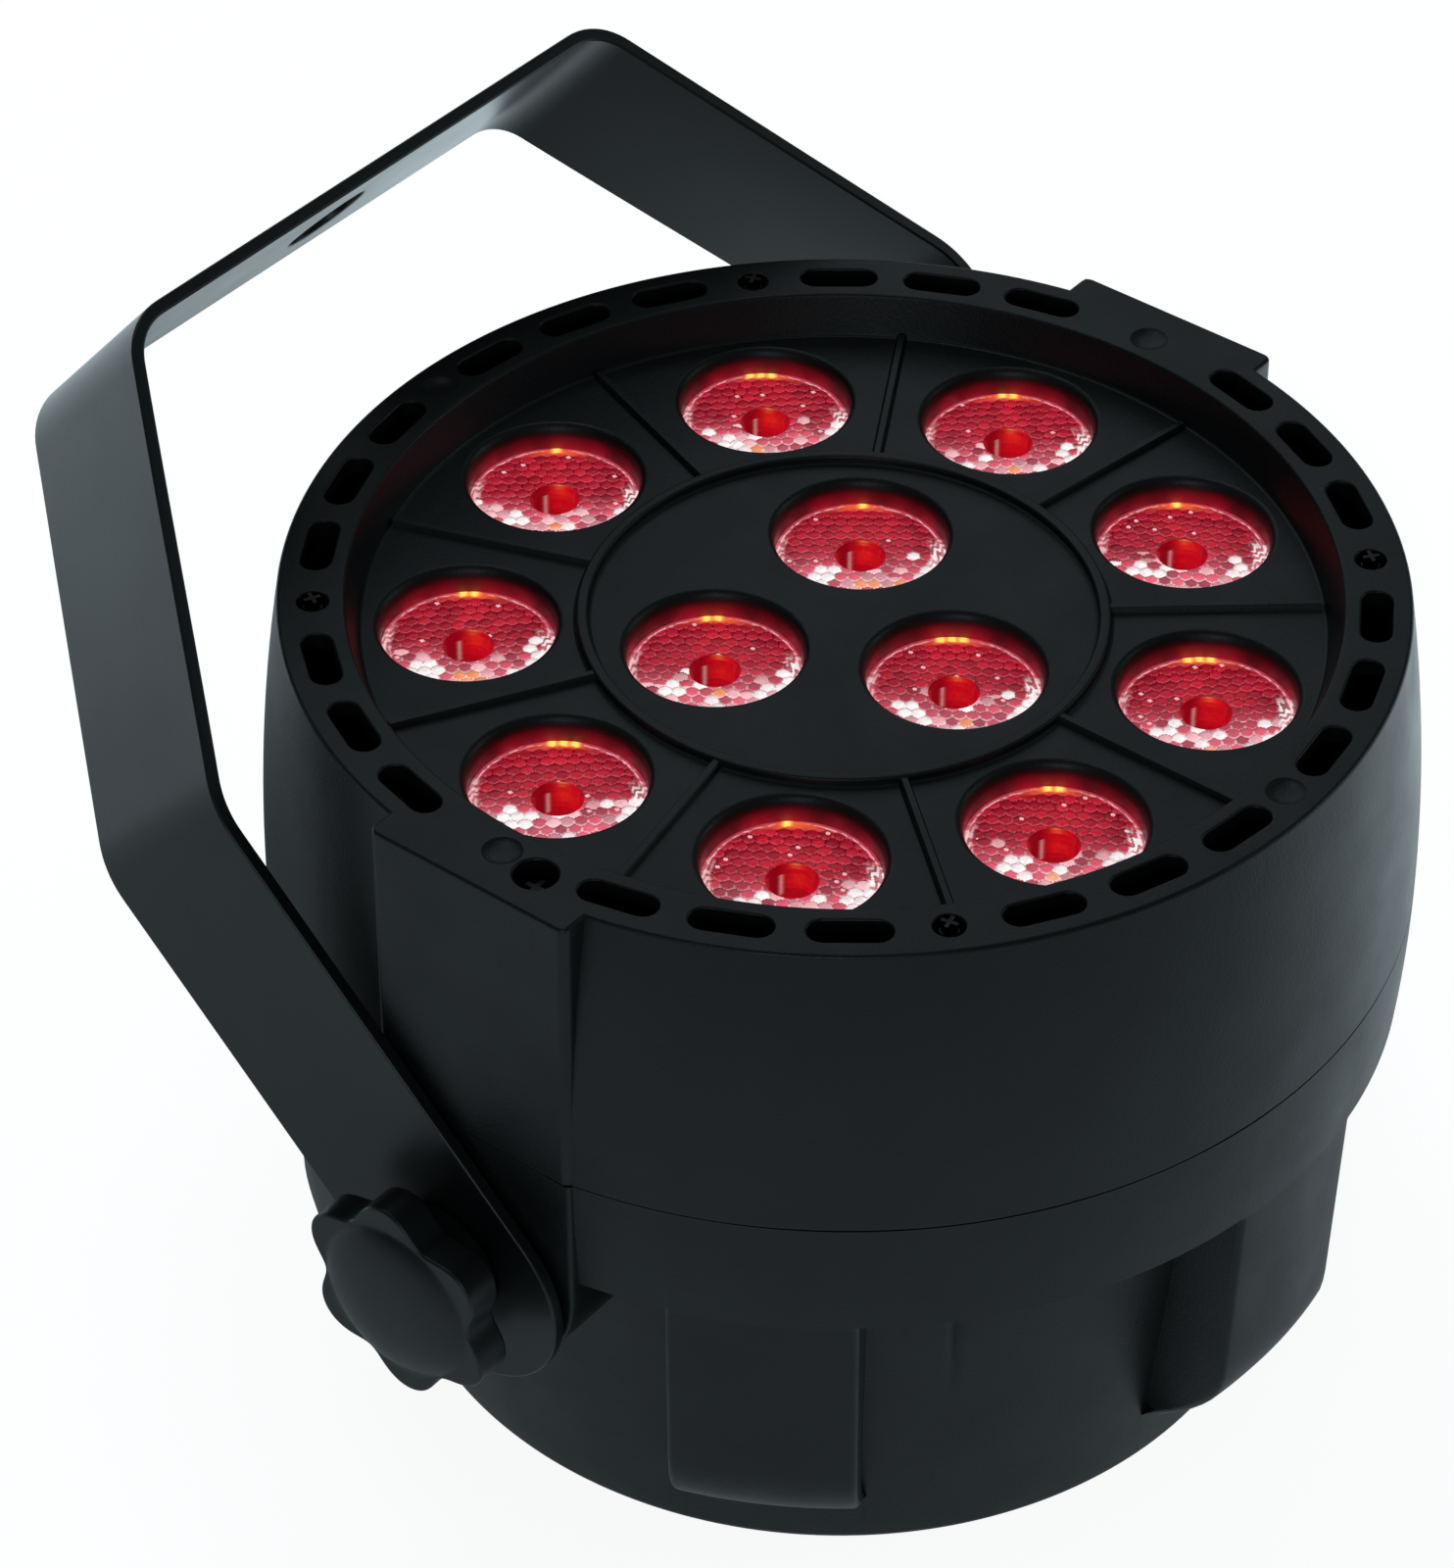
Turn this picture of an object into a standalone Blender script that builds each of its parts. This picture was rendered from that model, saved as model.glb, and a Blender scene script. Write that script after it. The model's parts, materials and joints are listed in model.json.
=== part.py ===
"""A small LED par can light, lens side up, resting on the flat rim of its rear casing.

The origin is on the surface it stands on, under the middle of the whole light with its yoke.
+Z is the direction of the beam, and X runs along the tilt axis of the mounting yoke. The pieces
are modelled round the beam axis, and the last step moves them together. Everything is in metres.
"""

import math

import bmesh
import bpy
from mathutils import Matrix, Vector

TAU = 2.0 * math.pi
GAP = 0.0003  # left between neighbouring pieces
SINK_IN = 0.0010  # how far a joined shape reaches into its neighbour, so that they fuse

# ---- driving dimensions -------------------------------------------------------------------
AXIS_Y = -0.0117  # the beam axis, because the yoke leans out on the +Y side
HEIGHT = 0.117  # rear resting face to the top of the rim
RIM_R = 0.0754  # outside of the casing at the rim
RIM_INNER_R = 0.0660
BULGE_R = 0.0788  # widest outside radius, at the split
SPLIT_Z = 0.0737  # front casing above, rear casing below
BAND_R = 0.07785  # outside of the rear casing at its ledge
LEDGE_Z = 0.0553
CONE_TOP_R = 0.0693  # the tapered lower body under the ledge
CONE_LOW_R = 0.0633
WALL = 0.0025

PANEL_Z = 0.1111  # top of the recessed face panel
PANEL_R = 0.0642
PANEL_T = 0.0025
LENS_COUNT_OUT = 9
LENS_COUNT_IN = 3
LENS_RING_OUT = 0.0500
LENS_RING_IN = 0.0184
LENS_TURN_OUT = math.radians(90.0)  # first lens of each ring, from +X
LENS_TURN_IN = math.radians(30.0)
LENS_HOLE_R = 0.0118
LENS_HOLE_ROUND = 0.00115
LENS_R = 0.0123
LENS_FACE_Z = 0.1071
LENS_FOOT_Z = 0.0963
RING_R = 0.0348  # raised ring around the three inner lenses
RING_W = 0.0015
RING_H = 0.0012
RIB_W = 0.0014
RIB_H = 0.0009

SLOT_RING_R = 0.0703
SLOT_ANGLES = (14.0, 26.0, 38.0, 58.0, 70.0, 82.0)  # in each quadrant, degrees
SLOT_LENGTH = 0.0112
SLOT_WIDTH = 0.0043
SLOT_CORNER_R = 0.0015
RIM_SCREW_ANGLE = 48.0
RIM_SCREW_HOLE_R = 0.0024
DIMPLE_R = 0.0028
DIMPLE_DEPTH = 0.0007
SIDE_SCREW_AT = (-0.0711, -0.0061)
SIDE_SCREW_HOLE_R = 0.0030
SIDE_SCREW_BORE_R = 0.0018
SIDE_SCREW_SEAT_Z = 0.1080
SIDE_POST_R = 0.0044
RIM_SCREW_SEAT_Z = 0.1145
RIM_POST_R = 0.0037
RIM_POST_JOIN_Z = 0.1000  # the front and rear screw posts meet here
SCREW_BORE_R = 0.0016
SCREW_SHANK_R = 0.0013

PAD_HALF = 0.0160  # flat side pads that the yoke clamps against
PAD_X = 0.0778
PAD_TOP_X = 0.0776
PAD_END_Z = 0.0525  # centre of the pad's rounded lower end

TAB_COUNT = 6
TAB_HALF = 0.0127
TAB_FIRST = math.radians(30.0)

PIVOT_Y = 0.0029
PIVOT_Z = 0.0523
YOKE_TILT = math.radians(44.0)  # above the horizontal, towards +Y
YOKE_T = 0.0016
YOKE_W = 0.0306
YOKE_ARM_X = 0.0805  # outer face of each arm
YOKE_ARM_END = 0.0665  # from the pivot to the shoulder bend
YOKE_BAR_X = 0.0479  # half of the crossbar, measured to its bends
YOKE_BAR = 0.1232  # from the pivot to the outer face of the crossbar
YOKE_TAIL = 0.0040  # from the pivot back to the centre of the rounded end
YOKE_SHOULDER_R = 0.0150
YOKE_CORNER_R = 0.0110
YOKE_HANG_HOLE_R = 0.0065
YOKE_TAIL_STEPS = 8  # facets in each quarter of its rounded ends

STUD_R = 0.0040
STUD_X = (0.0670, 0.0880)
INSERT_R = 0.0060
INSERT_X = (0.0665, 0.0770)
WASHER_R = 0.0100
KNOB_LOBES = 6
KNOB_R = 0.0139
KNOB_LOBE = 0.0015
KNOB_TURN = math.radians(23.4)
KNOB_BACK_X = 0.0858
KNOB_FRONT_X = 0.0911
KNOB_TIP_X = 0.0937
KNOB_DOME_R = 0.0110
KNOB_HUB_R = 0.0085

REAR_RECESS_R = 0.0570
REAR_RECESS_Z = 0.0130
REAR_OPENING_R = 0.0490
REAR_PANEL_Z = (0.0110, 0.0127)
BUTTON_X = (-0.0210, -0.0070, 0.0070, 0.0210)
BUTTON_Y = 0.0150
BUTTON_R = 0.0033
BUTTON_OUT = 0.0035  # how far a cap stands out of the panel's inner face
BUTTON_FLANGE = 0.0010
BUTTON_STEM_R = 0.0016
DISPLAY_AT = (0.0, 0.0330)
DISPLAY_SIZE = (0.0340, 0.0150)
DMX_X = 0.0330
DMX_Y = -0.0110
DMX_R = 0.0112
DMX_BORE_R = 0.0088
DMX_CONTACT_RING_R = 0.0048
SOCKET_FLANGE = 0.0022
SOCKET_BACK_Z = 0.0290
INLET_AT = (0.0, -0.0360)
INLET_SIZE = (0.0270, 0.0190)
FUSE_AT = (0.0, -0.0110)
FUSE_R = 0.0060
PANEL_SCREW_R = 0.0530

BOARD_Z = (0.0944, 0.0960)
BOARD_R = 0.0620
SINK_Z = (0.0880, 0.0941)
SINK_R = 0.0580
FIN_Z = 0.0720
FIN_PITCH = 0.0095
FIN_COUNT = 11
POST_RING_R = 0.0310
POWER_BOARD_Z = (0.0323, 0.0339)
POWER_BOARD_R = 0.0560
CONTROL_BOARD_Z = (0.0193, 0.0209)
TRAY_Z = (0.1002, 0.1017)
TRAY_R = 0.0618
TRAY_HOLE_R = 0.0100

SEG = 48  # facets round the casings
SEG_LENS = 16
SEG_SMALL = 12


# ---- materials ----------------------------------------------------------------------------
def make_material(name, colour, roughness, metallic=0.0):
    material = bpy.data.materials.new(name)
    material.use_nodes = True
    shader = material.node_tree.nodes["Principled BSDF"]
    shader.inputs["Base Color"].default_value = (*colour, 1.0)
    shader.inputs["Roughness"].default_value = roughness
    shader.inputs["Metallic"].default_value = metallic
    return material


def make_materials():
    return {
        "casing": make_material("casing_plastic", (0.018, 0.021, 0.023), 0.62),
        "panel": make_material("rear_panel_paint", (0.016, 0.017, 0.018), 0.55),
        "yoke": make_material("yoke_paint", (0.022, 0.025, 0.027), 0.42),
        "knob": make_material("knob_plastic", (0.020, 0.022, 0.024), 0.35),
        "steel": make_material("zinc_steel", (0.55, 0.55, 0.54), 0.32, 1.0),
        "black_screw": make_material("blackened_steel", (0.05, 0.05, 0.05), 0.40, 0.8),
        "brass": make_material("brass", (0.62, 0.46, 0.20), 0.30, 1.0),
        "aluminium": make_material("aluminium", (0.68, 0.69, 0.70), 0.40, 1.0),
        "lens": make_material("lens_acrylic", (0.90, 0.10, 0.14), 0.08),
        "tray": make_material("tray_plastic", (0.03, 0.03, 0.03), 0.50),
        "white_board": make_material("white_solder_mask", (0.80, 0.80, 0.78), 0.45),
        "green_board": make_material("green_solder_mask", (0.03, 0.20, 0.08), 0.40),
        "component": make_material("component_case", (0.04, 0.04, 0.05), 0.45),
        "display": make_material("display_window", (0.03, 0.01, 0.01), 0.12),
        "button": make_material("button_rubber", (0.05, 0.05, 0.05), 0.70),
        "socket": make_material("socket_plastic", (0.02, 0.02, 0.02), 0.45),
        "wire": make_material("wire_sleeve", (0.30, 0.02, 0.02), 0.50),
        "washer": make_material("friction_washer", (0.06, 0.06, 0.06), 0.80),
    }


# ---- mesh tools ---------------------------------------------------------------------------
def clear_scene():
    for obj in list(bpy.data.objects):
        bpy.data.objects.remove(obj, do_unlink=True)


def polar(radius, angle):
    return Vector((radius * math.cos(angle), radius * math.sin(angle), 0.0))


def lathe(profile, segments):
    """A closed solid from a closed (radius, height) outline turned round Z."""
    bm = bmesh.new()
    rings = []
    for radius, height in profile:
        if radius == 0.0:
            rings.append([bm.verts.new((0.0, 0.0, height))])
            continue
        turn = [polar(radius, TAU * i / segments) for i in range(segments)]
        rings.append([bm.verts.new((p.x, p.y, height)) for p in turn])
    for first, second in zip(rings, rings[1:] + rings[:1]):
        for i in range(segments):
            j = (i + 1) % segments
            corners = [first[i % len(first)], first[j % len(first)]]
            corners += [second[j % len(second)], second[i % len(second)]]
            face = list(dict.fromkeys(corners))
            if len(face) > 2:
                bm.faces.new(face)
    bmesh.ops.recalc_face_normals(bm, faces=bm.faces)
    tips = [ring[0] for ring in rings if len(ring) == 1]
    flat = [tip for tip in tips if abs(tip.link_faces[0].normal.z) > 0.9999]
    bmesh.ops.dissolve_verts(bm, verts=flat)
    return bm


def prism(outline, low, high):
    """A flat (x, y) outline extruded from one height to another."""
    bm = bmesh.new()
    floor = [bm.verts.new((x, y, low)) for x, y in outline]
    face = bm.faces.new(floor)
    made = bmesh.ops.extrude_face_region(bm, geom=[face])["geom"]
    top = [v for v in made if isinstance(v, bmesh.types.BMVert)]
    bmesh.ops.translate(bm, verts=top, vec=(0.0, 0.0, high - low))
    bmesh.ops.recalc_face_normals(bm, faces=bm.faces)
    return bm


def loft(sections):
    """A closed solid through sections that all have the same number of points."""
    bm = bmesh.new()
    rows = [[bm.verts.new(p) for p in section] for section in sections]
    count = len(rows[0])
    for first, second in zip(rows, rows[1:]):
        for i in range(count):
            j = (i + 1) % count
            bm.faces.new((first[i], first[j], second[j], second[i]))
    bm.faces.new(rows[0])
    bm.faces.new(rows[-1])
    bmesh.ops.recalc_face_normals(bm, faces=bm.faces)
    return bm


def box(x, y, z):
    outline = [(x[0], y[0]), (x[1], y[0]), (x[1], y[1]), (x[0], y[1])]
    return prism(outline, z[0], z[1])


def disc(radius, z, segments=SEG_SMALL, at=(0.0, 0.0)):
    outline = [(at[0] + p.x, at[1] + p.y) for p in circle(radius, segments)]
    return prism(outline, z[0], z[1])


def circle(radius, segments):
    return [polar(radius, TAU * i / segments) for i in range(segments)]


def rounded_rectangle(width, height, corner_r, steps=3, at=(0.0, 0.0)):
    points = []
    for quarter in range(4):
        side_x = 1 if quarter in (0, 3) else -1
        side_y = 1 if quarter in (0, 1) else -1
        centre = Vector((side_x * (width / 2 - corner_r), side_y * (height / 2 - corner_r), 0.0))
        for step in range(steps + 1):
            p = centre + polar(corner_r, TAU / 4 * (quarter + step / steps))
            points.append((at[0] + p.x, at[1] + p.y))
    return points


def moved(bm, matrix):
    bmesh.ops.transform(bm, matrix=matrix, verts=bm.verts)
    return bm


def merged(meshes):
    """Several closed bodies that don't touch, in one mesh, for use as one cutter."""
    whole = bmesh.new()
    for bm in meshes:
        part = bpy.data.meshes.new("part")
        bm.to_mesh(part)
        bm.free()
        whole.from_mesh(part)
        bpy.data.meshes.remove(part)
    return whole


def spun(angle):
    return Matrix.Rotation(angle, 4, "Z")


def along_x(side=1):
    """Turns a shape made along +Z so that it runs along +X, or along -X."""
    return Matrix.Rotation(side * TAU / 4, 4, "Y")


def place(bm, name, material=None, parent=None, location=(0.0, 0.0, 0.0), smooth_deg=35.0):
    """Makes an object of a mesh, shaded smooth except at its real edges."""
    mesh = bpy.data.meshes.new(name)
    bm.to_mesh(mesh)
    bm.free()
    mesh.shade_smooth()
    mesh.set_sharp_from_angle(angle=math.radians(smooth_deg))
    return place_mesh(mesh, name, material, parent, location)


def place_mesh(mesh, name, material=None, parent=None, location=(0.0, 0.0, 0.0)):
    obj = bpy.data.objects.new(name, mesh)
    bpy.context.scene.collection.objects.link(obj)
    if material is not None and not mesh.materials:
        mesh.materials.append(material)
    obj.parent = parent
    obj.location = location
    return obj


def boolean(obj, bm, operation):
    helper = place(bm, f"{obj.name}_{operation.lower()}_{len(obj.modifiers)}")
    helper.hide_render = True
    helper.display_type = "WIRE"
    helper.parent = obj.parent
    helper.location = obj.location
    modifier = obj.modifiers.new(helper.name, "BOOLEAN")
    modifier.operation = operation
    modifier.object = helper
    return obj


def cut(obj, bm):
    return boolean(obj, bm, "DIFFERENCE")


def join(obj, bm):
    return boolean(obj, bm, "UNION")


def empty(name, location, rotation=(0.0, 0.0, 0.0)):
    obj = bpy.data.objects.new(name, None)
    bpy.context.scene.collection.objects.link(obj)
    obj.location = location
    obj.rotation_euler = rotation
    return obj


# ---- layout shared by several pieces ------------------------------------------------------
def lens_places():
    places = []
    for i in range(LENS_COUNT_OUT):
        angle = LENS_TURN_OUT + TAU * i / LENS_COUNT_OUT
        places.append((f"lens_outer_{i + 1}", polar(LENS_RING_OUT, angle)))
    for i in range(LENS_COUNT_IN):
        angle = LENS_TURN_IN + TAU * i / LENS_COUNT_IN
        places.append((f"lens_inner_{i + 1}", polar(LENS_RING_IN, angle)))
    return places


def rim_screw_places():
    angles = [RIM_SCREW_ANGLE, 180 - RIM_SCREW_ANGLE, 180 + RIM_SCREW_ANGLE, -RIM_SCREW_ANGLE]
    return [polar(SLOT_RING_R, math.radians(a)) for a in angles]


def post_places():
    return [polar(POST_RING_R, TAU / 4 + TAU * i / 3) for i in range(3)]


def panel_screw_places():
    return [polar(PANEL_SCREW_R, TAU / 8 + TAU * i / 4) for i in range(4)]


def front_outside_r(height):
    """The front casing swells gently from the rim to the split."""
    share = (height - SPLIT_Z) / (HEIGHT - SPLIT_Z)
    return BULGE_R - (BULGE_R - RIM_R) * share**2


def band_outside_r(height):
    share = (SPLIT_Z - height) / (SPLIT_Z - LEDGE_Z)
    return BULGE_R - (BULGE_R - BAND_R) * share**2


def heights(low, high, steps):
    return [low + (high - low) * i / steps for i in range(steps + 1)]


# ---- front casing -------------------------------------------------------------------------
def front_casing_profile():
    edge = 0.0005
    rim_under = HEIGHT - WALL
    panel_under = PANEL_Z - PANEL_T
    wall_steps = heights(SPLIT_Z, HEIGHT - edge, 4)
    outside = [(front_outside_r(z), z) for z in wall_steps]
    rim = [(RIM_R - 2 * edge, HEIGHT), (RIM_INNER_R + edge, HEIGHT), (RIM_INNER_R, HEIGHT - edge)]
    panel = [(PANEL_R, PANEL_Z), (0.0, PANEL_Z), (0.0, panel_under)]
    skirt = [(PANEL_R + 0.0020, panel_under), (RIM_INNER_R + 0.0020, rim_under)]
    duct = [(RIM_R - WALL, rim_under)]
    inside = [(front_outside_r(z) - WALL, z) for z in reversed(heights(SPLIT_Z, 0.105, 1))]
    return outside + rim + panel + skirt + duct + inside


def rim_slot_cutter():
    slots = []
    for angle in SLOT_ANGLES:
        for turn in (angle, 180 - angle, 180 + angle, -angle):
            outline = rounded_rectangle(SLOT_WIDTH, SLOT_LENGTH, SLOT_CORNER_R, 1)
            slot = prism(outline, HEIGHT - 2 * WALL, HEIGHT + WALL)
            shift = Matrix.Translation((SLOT_RING_R, 0.0, 0.0))
            slots.append(moved(slot, spun(math.radians(turn)) @ shift))
    return merged(slots)


def lens_hole_cutter():
    """Each hole has a rounded mouth, made here as one sloping step."""
    mouth = LENS_HOLE_R + LENS_HOLE_ROUND
    low = PANEL_Z - 2 * PANEL_T
    profile = [
        (0.0, low),
        (LENS_HOLE_R, low),
        (LENS_HOLE_R, PANEL_Z - LENS_HOLE_ROUND),
        (mouth - 0.7 * LENS_HOLE_ROUND, PANEL_Z - 0.3 * LENS_HOLE_ROUND),
        (mouth, PANEL_Z),
        (mouth, PANEL_Z + WALL),
        (0.0, PANEL_Z + WALL),
    ]
    holes = []
    for _, spot in lens_places():
        holes.append(moved(lathe(profile, SEG_LENS), Matrix.Translation(spot)))
    return merged(holes)


def rib_mesh():
    ribs = []
    for i in range(LENS_COUNT_OUT):
        angle = LENS_TURN_OUT + TAU * (i + 0.5) / LENS_COUNT_OUT
        along = (RING_R, PANEL_R + RIB_H)
        rise = (PANEL_Z - SINK_IN, PANEL_Z + RIB_H)
        rib = box(along, (-RIB_W / 2, RIB_W / 2), rise)
        ribs.append(moved(rib, spun(angle)))
    return merged(ribs)


def ring_mesh():
    inner = RING_R - RING_W / 2
    outer = RING_R + RING_W / 2
    top = PANEL_Z + RING_H
    foot = PANEL_Z - SINK_IN
    profile = [(inner, foot), (outer, foot), (outer, top), (inner, top)]
    return lathe(profile, SEG)


def front_pad(side):
    """The pad's flat face leans in a little towards the rim, for draft."""
    root_x = 0.0735
    sections = []
    for z, face_x in ((SPLIT_Z, PAD_X + SINK_IN), (HEIGHT - 0.0002, PAD_TOP_X + SINK_IN)):
        corners = ((root_x, -PAD_HALF), (face_x, -PAD_HALF), (face_x, PAD_HALF), (root_x, PAD_HALF))
        sections.append([(side * x, y, z) for x, y in corners])
    return loft(sections)


def pad_face_cutter(low, low_x, high, high_x):
    """Trims the bulge of the wall and the pads to one flat face on each side."""
    cutters = []
    beyond_x = 0.09
    half = 0.03
    for side in (-1, 1):
        sections = []
        for z, face_x in ((low, low_x), (high, high_x)):
            corners = ((face_x, -half), (beyond_x, -half), (beyond_x, half), (face_x, half))
            sections.append([(side * x, y, z) for x, y in corners])
        cutters.append(loft(sections))
    return merged(cutters)


def hole_group(spots, radius, z, segments=SEG_SMALL):
    return merged([disc(radius, z, segments, (p[0], p[1])) for p in spots])


def build_front_shell(material):
    shell = place(lathe(front_casing_profile(), SEG), "front_shell", material)
    slope = (PAD_X - PAD_TOP_X) / (HEIGHT - SPLIT_Z)
    over = 0.002
    join(shell, merged([front_pad(-1), front_pad(1)]))
    low_x = PAD_X + over * slope
    high_x = PAD_TOP_X - over * slope
    cut(shell, pad_face_cutter(SPLIT_Z - over, low_x, HEIGHT + over, high_x))
    join(shell, ring_mesh())
    join(shell, rib_mesh())
    under_rim = HEIGHT - SINK_IN / 2
    above = HEIGHT + WALL
    screw_posts = hole_group(rim_screw_places(), RIM_POST_R, (RIM_POST_JOIN_Z, under_rim))
    join(shell, screw_posts)
    side_post = disc(SIDE_POST_R, (SPLIT_Z, under_rim), SEG_SMALL, SIDE_SCREW_AT)
    join(shell, side_post)
    board_posts = hole_group(post_places(), 0.0027, (BOARD_Z[1] + GAP, PANEL_Z - SINK_IN))
    join(shell, board_posts)
    cut(shell, lens_hole_cutter())
    cut(shell, rim_slot_cutter())
    cut(shell, hole_group(rim_screw_places(), RIM_SCREW_HOLE_R, (RIM_SCREW_SEAT_Z, above)))
    cut(shell, hole_group(rim_screw_places(), SCREW_BORE_R, (0.0900, RIM_SCREW_SEAT_Z + 0.0005)))
    cut(shell, disc(SIDE_SCREW_HOLE_R, (SIDE_SCREW_SEAT_Z, above), SEG_SMALL, SIDE_SCREW_AT))
    side_bore = (SPLIT_Z - 0.0037, SIDE_SCREW_SEAT_Z + 0.0005)
    cut(shell, disc(SIDE_SCREW_BORE_R, side_bore, SEG_SMALL, SIDE_SCREW_AT))
    cut(shell, hole_group(post_places(), SCREW_BORE_R, (0.0900, 0.1060)))
    dimples = [polar(SLOT_RING_R, TAU / 4 * i) for i in range(4)]
    cut(shell, hole_group(dimples, DIMPLE_R, (HEIGHT - DIMPLE_DEPTH, HEIGHT + WALL)))
    return shell


# ---- rear casing --------------------------------------------------------------------------
def rear_outside_profile():
    """Resting rim, tapered body, ledge, band, and the lip that locates the front casing."""
    foot = 0.0010
    top = SPLIT_Z - GAP
    band = [(band_outside_r(z), z) for z in heights(LEDGE_Z, top, 2)]
    recess = [(REAR_RECESS_R, 0.0), (REAR_RECESS_R, REAR_RECESS_Z), (REAR_OPENING_R, REAR_RECESS_Z)]
    lip_out = BULGE_R - WALL - 2 * GAP
    lip_in = lip_out - 0.0020
    lip_top = top + 0.0030
    lip = [(lip_out, top), (lip_out, lip_top), (lip_in, lip_top), (lip_in, LEDGE_Z + WALL)]
    inside = [
        (CONE_TOP_R - WALL, LEDGE_Z + WALL),
        (CONE_LOW_R - WALL + 0.0012, REAR_RECESS_Z + WALL),
        (REAR_OPENING_R, REAR_RECESS_Z + WALL),
    ]
    outside = [(CONE_LOW_R - foot, 0.0), (CONE_LOW_R, foot), (CONE_TOP_R, LEDGE_Z)]
    return outside + band + lip + inside + recess[::-1]


def tab_outline(inset):
    """Side view of a tab, as (radius, height), from its foot round to its top."""
    root_r = 0.0625
    return [
        (root_r, 0.0075 + 1.5 * inset),
        (0.0700 - inset * 0.6, 0.0138 + inset * 0.8),
        (0.0732 - inset * 0.8, 0.0167 + inset * 0.6),
        (0.0756 - inset, 0.0200 + inset * 0.3),
        (0.0766 - inset, 0.0240),
        (BAND_R - inset, LEDGE_Z + SINK_IN + inset),
        (root_r, LEDGE_Z + SINK_IN + inset),
    ]


def tabs(inset):
    """Upright ribs flush with the band, or, with an inset, the hollows inside them."""
    half = TAB_HALF - inset
    made = []
    for i in range(TAB_COUNT):
        sections = []
        for y in heights(-half, half, 3):
            section = [(math.sqrt(r * r - y * y), y, z) for r, z in tab_outline(inset)]
            sections.append(section)
        made.append(moved(loft(sections), spun(TAB_FIRST + TAU * i / TAB_COUNT)))
    return merged(made)


def rear_pad(side):
    points = [(-PAD_HALF, SPLIT_Z - GAP)]
    steps = 12
    for i in range(steps + 1):
        p = polar(PAD_HALF, -TAU / 2 + TAU / 2 * i / steps)
        points.append((p.x, PAD_END_Z + p.y))
    points.append((PAD_HALF, SPLIT_Z - GAP))
    pad_in = [(side * 0.0655, y, z) for y, z in points]
    pad_out = [(side * (PAD_X + SINK_IN), y, z) for y, z in points]
    return loft([pad_in, pad_out])


def pivot_bore(radius, low, high):
    bores = []
    for side in (-1, 1):
        bore = moved(disc(radius, (low, high), SEG_SMALL), along_x(side))
        bores.append(moved(bore, Matrix.Translation((0.0, PIVOT_Y, PIVOT_Z))))
    return merged(bores)


def build_rear_shell(material):
    shell = place(lathe(rear_outside_profile(), SEG), "rear_shell", material)
    join(shell, tabs(0.0))
    join(shell, merged([rear_pad(-1), rear_pad(1)]))
    cut(shell, pad_face_cutter(0.030, PAD_X, 0.080, PAD_X))
    cut(shell, tabs(WALL))
    gap_y = (-0.017, 0.017)
    gap_z = (SPLIT_Z - GAP, 0.080)
    cut(shell, merged([box((side * 0.078, side * 0.066), gap_y, gap_z) for side in (-1, 1)]))
    cut(shell, pivot_bore(INSERT_R + GAP, 0.060, 0.090))
    posts = hole_group(rim_screw_places(), 0.0035, (LEDGE_Z + SINK_IN, RIM_POST_JOIN_Z - GAP))
    join(shell, posts)
    cut(shell, hole_group(rim_screw_places(), SCREW_BORE_R, (0.0800, 0.1050)))
    cut(shell, disc(SIDE_SCREW_BORE_R, (0.0630, 0.0800), SEG_SMALL, SIDE_SCREW_AT))
    cut(shell, hole_group(panel_screw_places(), SCREW_BORE_R, (0.0100, 0.0200)))
    post_z = (REAR_RECESS_Z + SINK_IN, POWER_BOARD_Z[0] - GAP)
    join(shell, hole_group(power_board_posts(), 0.0030, post_z))
    return shell


def power_board_posts():
    return [polar(0.0535, TAU / 4 + TAU * i / 3) for i in range(3)]


# ---- optics -------------------------------------------------------------------------------
def lens_mesh():
    """A collimator: flat front with a centre well, flange, cone and a cup over the emitter."""
    foot = LENS_FOOT_Z
    profile = [
        (0.0, LENS_FACE_Z - 0.0050),
        (0.0026, LENS_FACE_Z - 0.0050),
        (0.0030, LENS_FACE_Z),
        (LENS_R, LENS_FACE_Z),
        (LENS_R, LENS_FACE_Z - 0.0014),
        (0.0052, foot),
        (0.0034, foot),
        (0.0030, foot + 0.0034),
        (0.0, foot + 0.0034),
    ]
    return lathe(profile, SEG_LENS)


def build_lenses(material):
    mesh = None
    for name, spot in lens_places():
        if mesh is None:
            mesh = place(lens_mesh(), name, material, location=spot).data
        else:
            place_mesh(mesh, name, location=spot)


def build_lens_tray(material):
    """A plate with a hole round each cone, standing on the LED board by its skirt."""
    foot = BOARD_Z[1] + GAP
    skirt_r = TRAY_R - 0.0015
    low, high = TRAY_Z
    profile = [(0.0, low), (skirt_r, low), (skirt_r, foot), (TRAY_R, foot), (TRAY_R, high), (0.0, high)]
    tray = place(lathe(profile, SEG_LENS * 2), "lens_tray", material)
    through = (low - SINK_IN, high + SINK_IN)
    cut(tray, hole_group([spot for _, spot in lens_places()], TRAY_HOLE_R, through, SEG_LENS))
    cut(tray, hole_group(post_places(), 0.0031, through))


def build_led_board(material):
    """A round board with one emitter package under each lens."""
    board = place(disc(BOARD_R, BOARD_Z, SEG_LENS * 2), "led_board", material)
    emitters = []
    for _, spot in lens_places():
        dome = [
            (0.0, BOARD_Z[1] - 0.0006),
            (0.0022, BOARD_Z[1] - 0.0006),
            (0.0022, BOARD_Z[1] + 0.0007),
            (0.0016, BOARD_Z[1] + 0.0015),
            (0.0, BOARD_Z[1] + 0.0021),
        ]
        emitters.append(moved(lathe(dome, 8), Matrix.Translation(spot)))
    join(board, merged(emitters))
    cut(board, hole_group(post_places(), SCREW_BORE_R, (0.0900, 0.1000)))


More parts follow.
